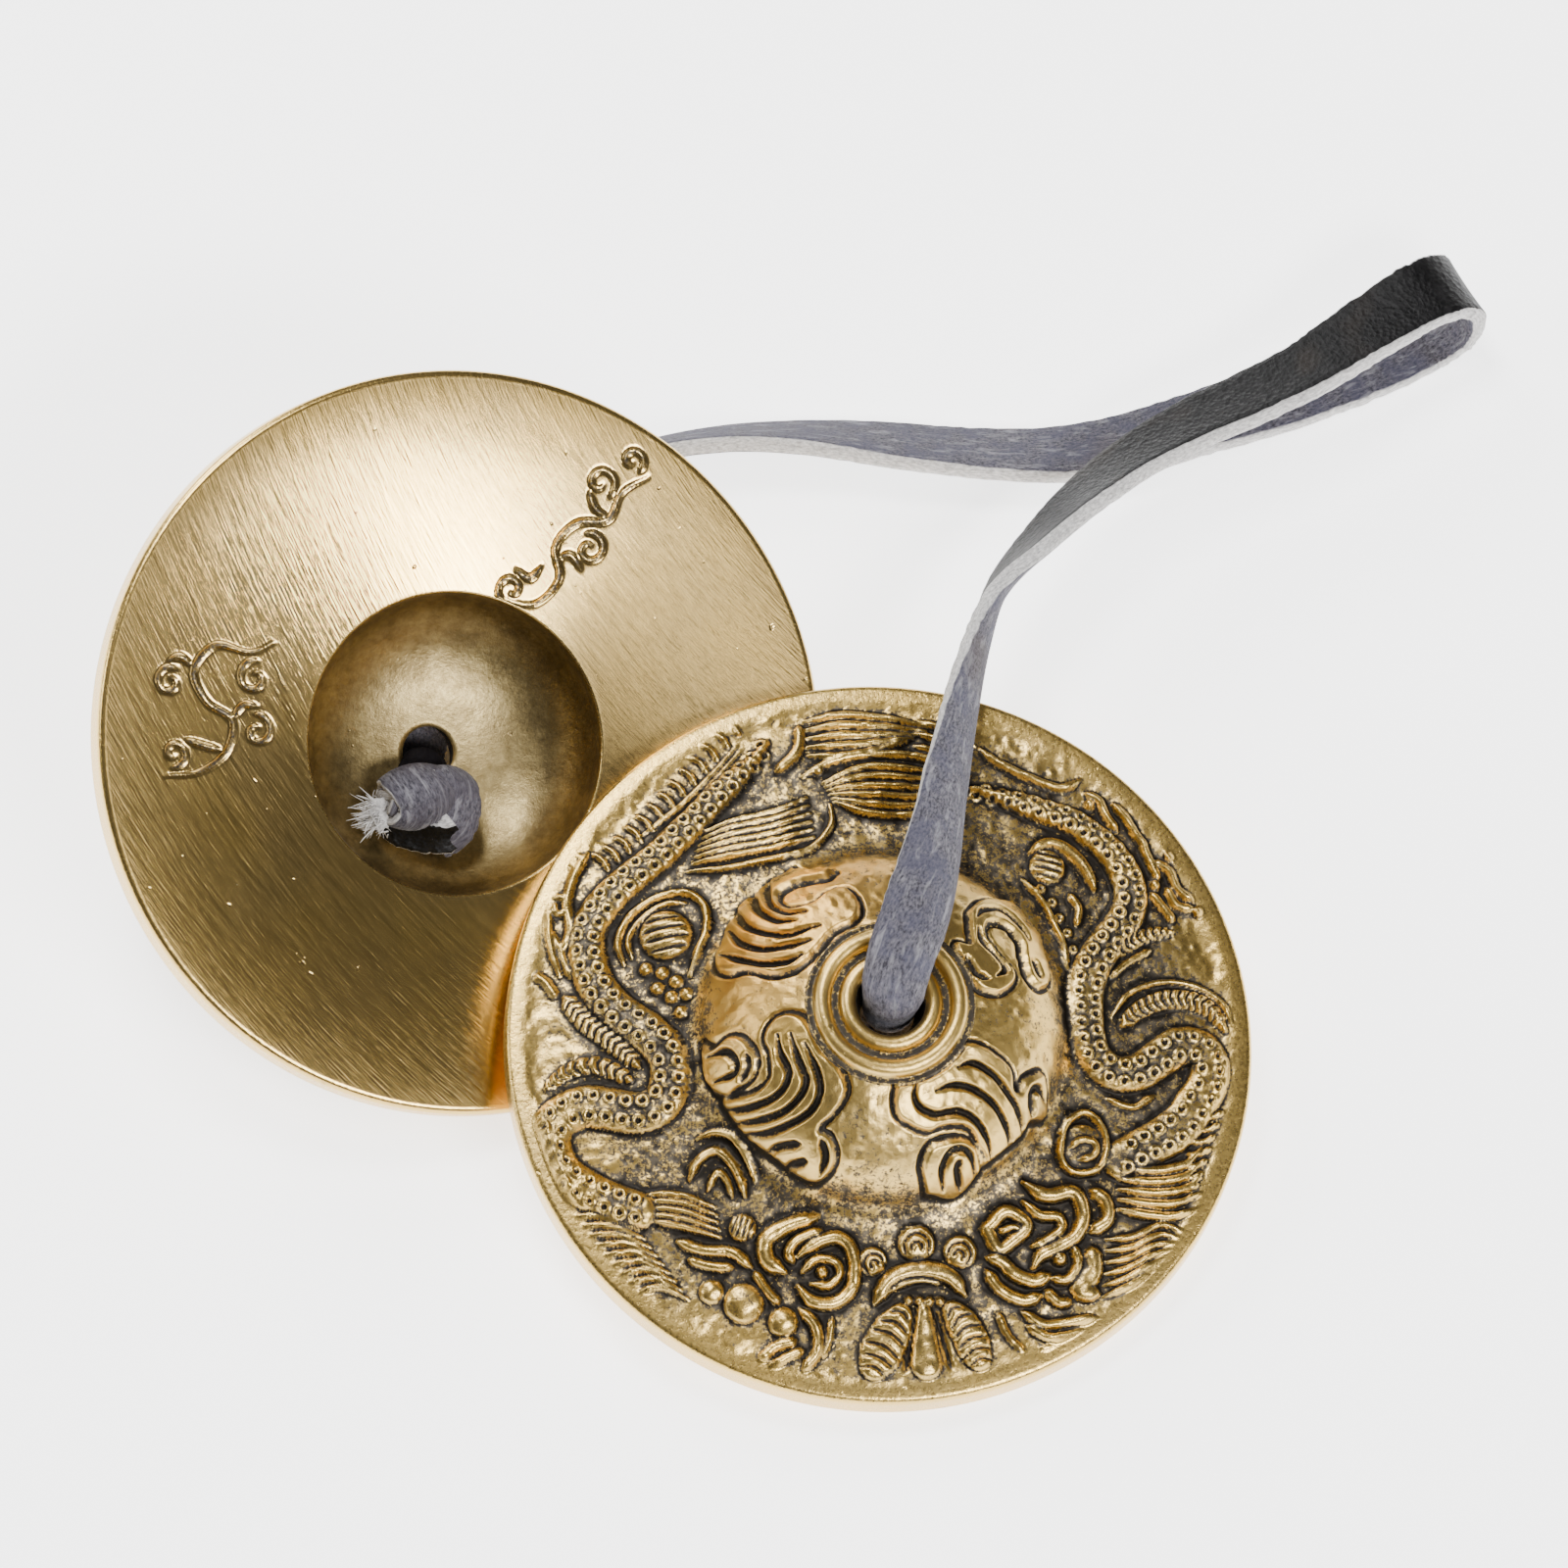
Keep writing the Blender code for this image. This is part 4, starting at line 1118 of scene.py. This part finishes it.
def ring_dark(radius, height):
    """Dark in the hole and in the grooves between the raised rounds, bright elsewhere."""
    dark = np.ones_like(radius)
    near = height > LAND_HEIGHT - 1.4
    for centre, breadth in ((4.82, 0.42), (7.05, 0.36)):
        shade = np.clip(1.15 - ((radius - centre) / breadth) ** 2, 0, 1)
        dark = np.where(near, dark * (1 - 0.9 * shade), dark)
    in_hole = (radius < MOUTH_RADIUS + 0.02) & (height > ROOF_DEPTH)
    return np.where(in_hole, 0.1, dark)


def uneven_casting(radius, angles, bell):
    """Slow hand-finished waves, so that highlights break as they do on a real casting."""
    wave = np.zeros((len(radius), len(angles)))
    for turns, phase, size in ((2, 0.4, 0.030), (3, 1.9, 0.022), (5, 0.7, 0.012), (7, 2.6, 0.008)):
        wave += size * np.sin(turns * angles[None, :] + phase + radius * 0.13)
    fade = np.clip((RIM_RADIUS - 1.0 - radius) / 7, 0, 1)
    strength = np.clip((radius - 8) / 10, 0, 1) * fade * fade * (3 - 2 * fade)
    return wave * strength * (0.6 + 0.8 * bell)


def lay_out(mesh, radius, outside_count, quads):
    """Flat maps of the two sides next to each other, for baking."""
    travel = np.concatenate([[0], np.cumsum(np.abs(np.diff(radius)) + 0.02)])
    out_share = travel[:outside_count] / travel[outside_count - 1]
    back = travel[-1] - travel[outside_count - 1 :]
    in_share = back / back[0]
    ring, turn = quads // TURNS, quads % TURNS
    step = np.where((turn == 0) & (turn[:, 0:1] != 0), TURNS, turn)
    angle = step * 2 * math.pi / TURNS
    is_outside = ring.max(axis=1) < outside_count
    wraps = (ring.max(axis=1) == len(radius) - 1) & (ring.min(axis=1) == 0)
    outer_rows = np.clip(ring, 0, outside_count - 1)
    inner_rows = np.clip(ring - (outside_count - 1), 0, len(in_share) - 1)
    shares = np.where(is_outside[:, None], out_share[outer_rows], in_share[inner_rows])
    shares = np.where(wraps[:, None], np.where(ring == 0, 0.0, in_share[-1]), shares)
    reach = 0.06 + 0.94 * shares
    middle_u = np.where(is_outside, 0.25, 0.75)[:, None]
    u = middle_u + 0.244 * reach * np.cos(angle)
    v = 0.5 + 0.488 * reach * np.sin(angle)
    layer = mesh.uv_layers.new(name="OFBake")
    layer.data.foreach_set("uv", np.stack([u, v], axis=-1).astype(np.float32).ravel())


# ---------------------------------------------------------------- brass

BRUSH_PIVOT = (0.080, -0.065, 0.0)


def brass_tones(n, place, grit, cloud):
    """The clean metal of the domed side, with a painted warm reflection on its upper left, of the turned
    hollow disc and of the bell inside it.
    """
    at = n.split(place)
    polished = n.mix(n.ramp(cloud, 0.35, 0.65), (0.73, 0.485, 0.135), (0.64, 0.44, 0.14))
    # Painted reflection: the upper left of the dome's top is tinted coppery orange, as warm light from the
    # back left colours it.
    to_upper_left = n.minus(at["Y"], at["X"])
    painted_warm_light = n.times(n.ramp(to_upper_left, 0.003, 0.016), n.ramp(at["Z"], 0.0095, 0.0115))
    painted_warm_light = n.times(painted_warm_light, n.attribute("domed"))
    polished = n.mix(n.times(painted_warm_light, 0.75), polished, (0.60, 0.32, 0.065))
    turned = n.mix(n.ramp(cloud, 0.3, 0.7), (0.64, 0.435, 0.145), (0.56, 0.39, 0.145))
    inner = n.mix(n.ramp(grit, 0.3, 0.7), (0.31, 0.228, 0.098), (0.50, 0.38, 0.175))
    mottle = n.noise(place, 360, 5, 0.7)
    return polished, turned, n.mix(n.ramp(mottle, 0.42, 0.64, 0, 0.55), inner, (0.13, 0.092, 0.042))


def brushed_arcs(n, place):
    """Fine and coarse scratches in arcs round a far pivot."""
    from_pivot = n.add("ShaderNodeVectorMath", {0: place, 1: BRUSH_PIVOT}, operation="SUBTRACT")
    apart = n.split(from_pivot.outputs["Vector"])
    squares = [n.math("POWER", apart[axis], 2.0) for axis in ("X", "Y")]
    reach = n.math("SQRT", n.plus(*squares))
    sweep = n.math("ARCTAN2", apart["Y"], apart["X"])
    polar = n.add("ShaderNodeCombineXYZ", {"X": reach, "Y": sweep}).outputs["Vector"]
    fine = n.noise(n.stretched(polar, (6200.0, 34.0, 1.0)), 1.0, 2, 0.6)
    coarse = n.noise(n.stretched(polar, (2900.0, 22.0, 1.0)), 1.0, 3, 0.6)
    return fine, coarse


def brass_material():
    """Cast brass: bright where it is touched, dark in the relief with its patina, near black in its deepest
    recesses and hole as painted shade, brushed on the hollow disc.
    """
    n = Nodes("cast_brass")
    place = n.attribute("plan", "Vector")
    wear, hollow, bell = (n.attribute(name) for name in ("wear", "hollow", "bell"))
    cloud = n.noise(place, 130, 3, 0.5)
    stipple = n.noise(place, 3300, 3, 0.7)
    grit = n.noise(place, 1100, 5, 0.65)
    spots = n.noise(place, 520, 3, 0.6)
    polished, turned, inner = brass_tones(n, place, grit, cloud)
    metal = n.mix(bell, n.mix(hollow, polished, turned), inner)

    dirt = n.plus(wear, n.ramp(stipple, 0.30, 0.70, -0.42, 0.42))
    dirt = n.plus(dirt, n.ramp(spots, 0.3, 0.7, -0.12, 0.12))
    clean = n.ramp(dirt, 0.30, 0.57)
    patina_and_shade = n.mix(n.ramp(grit, 0.35, 0.65), (0.040, 0.032, 0.023), (0.135, 0.112, 0.080))
    # Painted shade: the patina turns near black in the deepest recesses beside raised forms and in the hole.
    patina_and_shade = n.mix(n.ramp(wear, 0.02, 0.30), (0.013, 0.010, 0.007), patina_and_shade)
    pits = n.ramp(n.noise(place, 700, 2, 0.5), 0.73, 0.78)
    base = n.mix(n.times(pits, 0.35), n.mix(clean, patina_and_shade, metal), (0.13, 0.09, 0.05))
    n.surface("Base Color", base)
    n.surface("Metallic", n.ramp(clean, 0, 1, 0.72, 1.0))

    fine, coarse = brushed_arcs(n, place)
    on_top = n.ramp(n.split(place)["Z"], 0.0065, 0.0085)
    domed_rough = n.plus(n.ramp(stipple, 0.3, 0.7, 0.24, 0.34), n.times(on_top, 0.05))
    rough = n.mix_numbers(hollow, domed_rough, n.ramp(coarse, 0.3, 0.7, 0.175, 0.245))
    rough = n.plus(rough, n.times(bell, 0.08))
    n.surface("Roughness", n.plus(rough, n.ramp(clean, 0, 1, 0.18, 0.0)))

    cast = n.times(n.plus(n.times(stipple, 0.5), n.times(grit, 0.9)), n.minus(1.0, hollow))
    lines = n.times(n.plus(n.times(fine, 0.8), n.times(coarse, 1.1)), hollow)
    cast_normal = n.bump(n.minus(cast, n.times(pits, 0.8)), 0.55, 0.00010)
    n.surface("Normal", n.bump(lines, 0.42, 0.00005, cast_normal))
    return n.material


brass = brass_material()
cast_cymbal = cymbal_mesh("cymbal")


def place_cymbal(name, centre, dome_axis):
    """Local +Z is the dome axis, and local +X lies as near to the world's as the rim's plane allows."""
    z = Vector(dome_axis).normalized()
    x = Vector((1, 0, 0))
    x = (x - z * x.dot(z)).normalized()
    y = z.cross(x)
    turn = Matrix((x, y, z)).transposed().to_4x4()
    mesh = cast_cymbal.copy()
    mesh.transform(Matrix.Translation(Vector(centre)) @ turn)
    return new_object(name, mesh, brass)


left_cast = place_cymbal("left_cast_cymbal", LEFT_CENTRE, LEFT_DOME_AXIS)
right_cast = place_cymbal("right_cast_cymbal", RIGHT_CENTRE, RIGHT_DOME_AXIS)

# ---------------------------------------------------------------- knots

knot_leather = leather_material("knot_leather", (0.070, 0.060, 0.078))


def sweep_rows(points, edges, width):
    return smooth_rows([(point, edge, width) for point, edge in zip(points, edges)], 8)


def roll_rows(axis, start, radius, turns, width):
    """A strip rolled round an axis with its suede outside, tighter and tighter from its outer end."""
    axis = unit(np.array(axis, float))
    across = np.array(start, float)
    across = unit(across - axis * np.dot(across, axis))
    third = np.cross(axis, across)
    rows = []
    for t in np.linspace(0, 1, 64):
        a = t * turns * 2 * math.pi
        r = radius * (1 - 0.62 * t) * (1 + 0.05 * math.sin(2 * a + 0.5))
        place = across * r * math.cos(a) + third * r * math.sin(a) + axis * 0.0003 * math.sin(2.3 * a)
        rows.append((*place, *(-axis), width))
    return np.array(rows)


# Each turn of a knot has its points and the directions of its edge.
LOOP = (
    ((0.0012, 0.0024, -0.0004), (0.0026, 0.0022, 0.0002), (0.0034, 0.0010, 0.0004),
     (0.0035, -0.0006, -0.0002), (0.0030, -0.0020, -0.0010), (0.0014, -0.0028, -0.0018)),
    ((-0.6, -0.7, 1), (-0.9, -0.4, 0.9), (-1, -0.1, 0.7), (-1, 0.3, 0.6), (-0.7, 0.7, 0.7), (-0.2, 0.9, 0.8)),
)
BENEATH = (
    ((-0.0030, -0.0010, -0.0012), (-0.0014, -0.0021, -0.0015), (0.0006, -0.0027, -0.0016),
     (0.0024, -0.0029, -0.0013), (0.0034, -0.0022, -0.0010)),
    ((0.0, 0.5, 0.9), (0.0, 0.6, 0.8), (0.0, 0.6, 0.8), (0.1, 0.6, 0.8), (0.3, 0.4, 0.8)),
)
TORN = (
    ((-0.0004, -0.0002, 0.0001), (-0.0018, -0.0007, 0.0000), (-0.0031, -0.0012, -0.0003),
     (-0.0040, -0.0017, -0.0007)),
    ((0.1, 0.9, 0.3), (0.2, 0.9, 0.3), (0.3, 0.8, 0.4), (0.3, 0.8, 0.4)),
)
ROLL_AXIS, ROLL_START = (0.86, 0.34, -0.30), (0.1, 0.6, -1)
ROLL_RADIUS, ROLL_TURNS, ROLL_WIDTH = 0.00225, 1.65, 0.0050
STRETCH = 1.02


def make_knot(prefix, matrix):
    """A knot of the same strip: a rolled turn, a loop round its end, a turn beneath it and a torn end."""
    parts = (
        ("_roll", roll_rows(ROLL_AXIS, ROLL_START, ROLL_RADIUS, ROLL_TURNS, ROLL_WIDTH), 0.0052, False),
        ("_loop", sweep_rows(*LOOP, 0.0034), 0.0034, False),
        ("_under", sweep_rows(*BENEATH, 0.0030), 0.0030, False),
        ("_end", sweep_rows(*TORN, 0.0022), 0.0022, True),
    )
    made = []
    for seed, (suffix, rows, flat, pale) in enumerate(parts, 11):
        along = travelled(rows[:, :3])
        mesh = strip_mesh(prefix + suffix, rows, along, seed, flat * STRETCH, 0.00010, pale)
        mesh.transform(matrix)
        made.append(new_object(prefix + suffix, mesh, knot_leather))
    made.append(make_fray(prefix + "_fray", matrix))
    return made


FIBRES = 420


def make_fray(name, matrix):
    """Short fibres torn from the end of the strip."""
    source = np.random.default_rng(21)
    vertices, faces = [], []
    for _ in range(FIBRES):
        root = np.array((-0.0034, -0.0014, -0.0003)) + source.normal(0, 1, 3) * (0.0005, 0.0006, 0.0004)
        away = unit(np.array((-0.85, -0.38, 0.12)) + source.normal(0, 0.55, 3))
        length = source.uniform(0.0004, 0.0017)
        side = unit(np.cross(away, source.normal(0, 1, 3)))
        other = np.cross(away, side)
        sag = source.normal(0, 1, 3) * length * 0.25
        breadth = source.uniform(0.00005, 0.00011)
        base = len(vertices)
        for t, scale in ((0.0, 1.0), (0.35, 1.1), (0.7, 0.7), (1.0, 0.25)):
            middle = root + away * length * t + sag * t * t
            for a in (0, 2 * math.pi / 3, 4 * math.pi / 3):
                vertices.append(tuple(middle + (side * math.cos(a) + other * math.sin(a)) * breadth * scale))
        for k in range(3):
            for m in range(3):
                p, q = base + 3 * k + m, base + 3 * k + (m + 1) % 3
                faces.append((p, q, q + 3, p + 3))
        faces.append((base, base + 2, base + 1))
        faces.append((base + 9, base + 10, base + 11))
    mesh = bpy.data.meshes.new(name)
    mesh.from_pydata(vertices, [], faces)
    mesh.shade_smooth()
    mesh.transform(matrix)
    return new_object(name, mesh, fray_leather)


def fray_material():
    n = Nodes("frayed_fibre")
    place = n.add("ShaderNodeTexCoord").outputs["Object"]
    shade = n.noise(place, 1800, 3, 0.6)
    n.surface("Base Color", n.mix(n.ramp(shade, 0.3, 0.7), (0.45, 0.43, 0.42), (0.85, 0.83, 0.80)))
    n.surface("Roughness", n.ramp(shade, 0.3, 0.7, 0.85, 0.95))
    return n.material


fray_leather = fray_material()

KNOT_SET_BACK = Vector((-0.0003, 0.0012, 0.0))


def box_middle(node):
    low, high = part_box(node)
    return (np.array(low) + np.array(high)) / 2


left_matrix = Matrix.Translation(Vector(box_middle("left_knot")) + KNOT_SET_BACK)
left_knot_pieces = make_knot("left_knot", left_matrix)
right_turn = Vector(RIGHT_DOME_AXIS).to_track_quat("Z", "Y").to_matrix().to_4x4()
right_matrix = Matrix.Translation(Vector(box_middle("right_knot"))) @ right_turn
right_knot_pieces = make_knot("right_knot_end", right_matrix)

# ---------------------------------------------------------------- what rides on what

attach(strap_lower, "left_side")
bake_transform(strap_upper)
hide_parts("strap_left_run")
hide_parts("strap_loop", "strap_right_run")

for side, pieces in (("left", left_knot_pieces), ("right", right_knot_pieces)):
    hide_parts(side + "_knot")
    for piece in pieces:
        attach(piece, side + "_side")

for side, cast in (("left", left_cast), ("right", right_cast)):
    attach(cast, side + "_cymbal")
    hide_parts(side + "_cymbal")

# ---------------------------------------------------------------- studio


FLOOR_REACH = 3.0
FLOOR_GLOW = 2.9


def make_floor():
    """A white floor that glows, apart from beneath the left cymbal, where the glow fades out as a painted
    shadow.
    """
    mesh = bpy.data.meshes.new("floor")
    corners = [(x * FLOOR_REACH, y * FLOOR_REACH, 0) for x, y in ((-1, -1), (1, -1), (1, 1), (-1, 1))]
    mesh.from_pydata(corners, [], [(0, 1, 2, 3)])
    n = Nodes("floor_white")
    place = n.add("ShaderNodeTexCoord").outputs["Object"]
    shade = n.noise(place, 2.0, 2, 0.5)
    n.surface("Base Color", n.mix(shade, (0.90, 0.90, 0.90), (0.93, 0.93, 0.93)))
    n.surface("Roughness", 0.9)
    n.surface("Specular IOR Level", 0.1)
    n.surface("Emission Color", (1.0, 1.0, 1.0))
    foot = (float(LEFT_CENTRE[0]), float(LEFT_CENTRE[1]), 0.0)
    away = n.add("ShaderNodeVectorMath", {0: place, 1: foot}, operation="DISTANCE").outputs["Value"]
    # Painted shadow: no glow within 12 mm of the left cymbal's middle, full glow from 31 mm.
    n.surface("Emission Strength", n.ramp(away, 0.012, 0.031, 0.0, FLOOR_GLOW))
    new_object("floor", mesh, n.material)


def make_light(name, place, size, power, size_y=None):
    """A rectangular lamp that faces the cymbals."""
    lamp = bpy.data.lights.new(name, "AREA")
    lamp.shape = "RECTANGLE"
    lamp.size = size
    lamp.size_y = size_y or size
    lamp.energy = power
    thing = bpy.data.objects.new(name, lamp)
    bpy.context.scene.collection.objects.link(thing)
    thing.location = place
    towards = Vector((0.005, 0.005, 0.01)) - Vector(place)
    thing.rotation_euler = towards.to_track_quat("-Z", "Y").to_euler()


def make_world():
    world = bpy.data.worlds.new("studio")
    world.use_nodes = True
    background = world.node_tree.nodes["Background"]
    background.inputs["Color"].default_value = (1.0, 1.0, 1.0, 1.0)
    background.inputs["Strength"].default_value = 0.10
    bpy.context.scene.world = world


make_floor()
make_world()
make_light("key", (0.41, -0.59, 0.73), 0.42, 10, 0.20)
make_light("overhead", (-0.17, 0.32, 0.93), 0.30, 7)
make_light("above", (0.34, -0.30, 0.89), 0.16, 0.2)
make_light("left", (-0.85, 0.10, 0.45), 0.22, 2)
make_light("back_left", (-0.46, 0.72, 0.54), 0.30, 5)
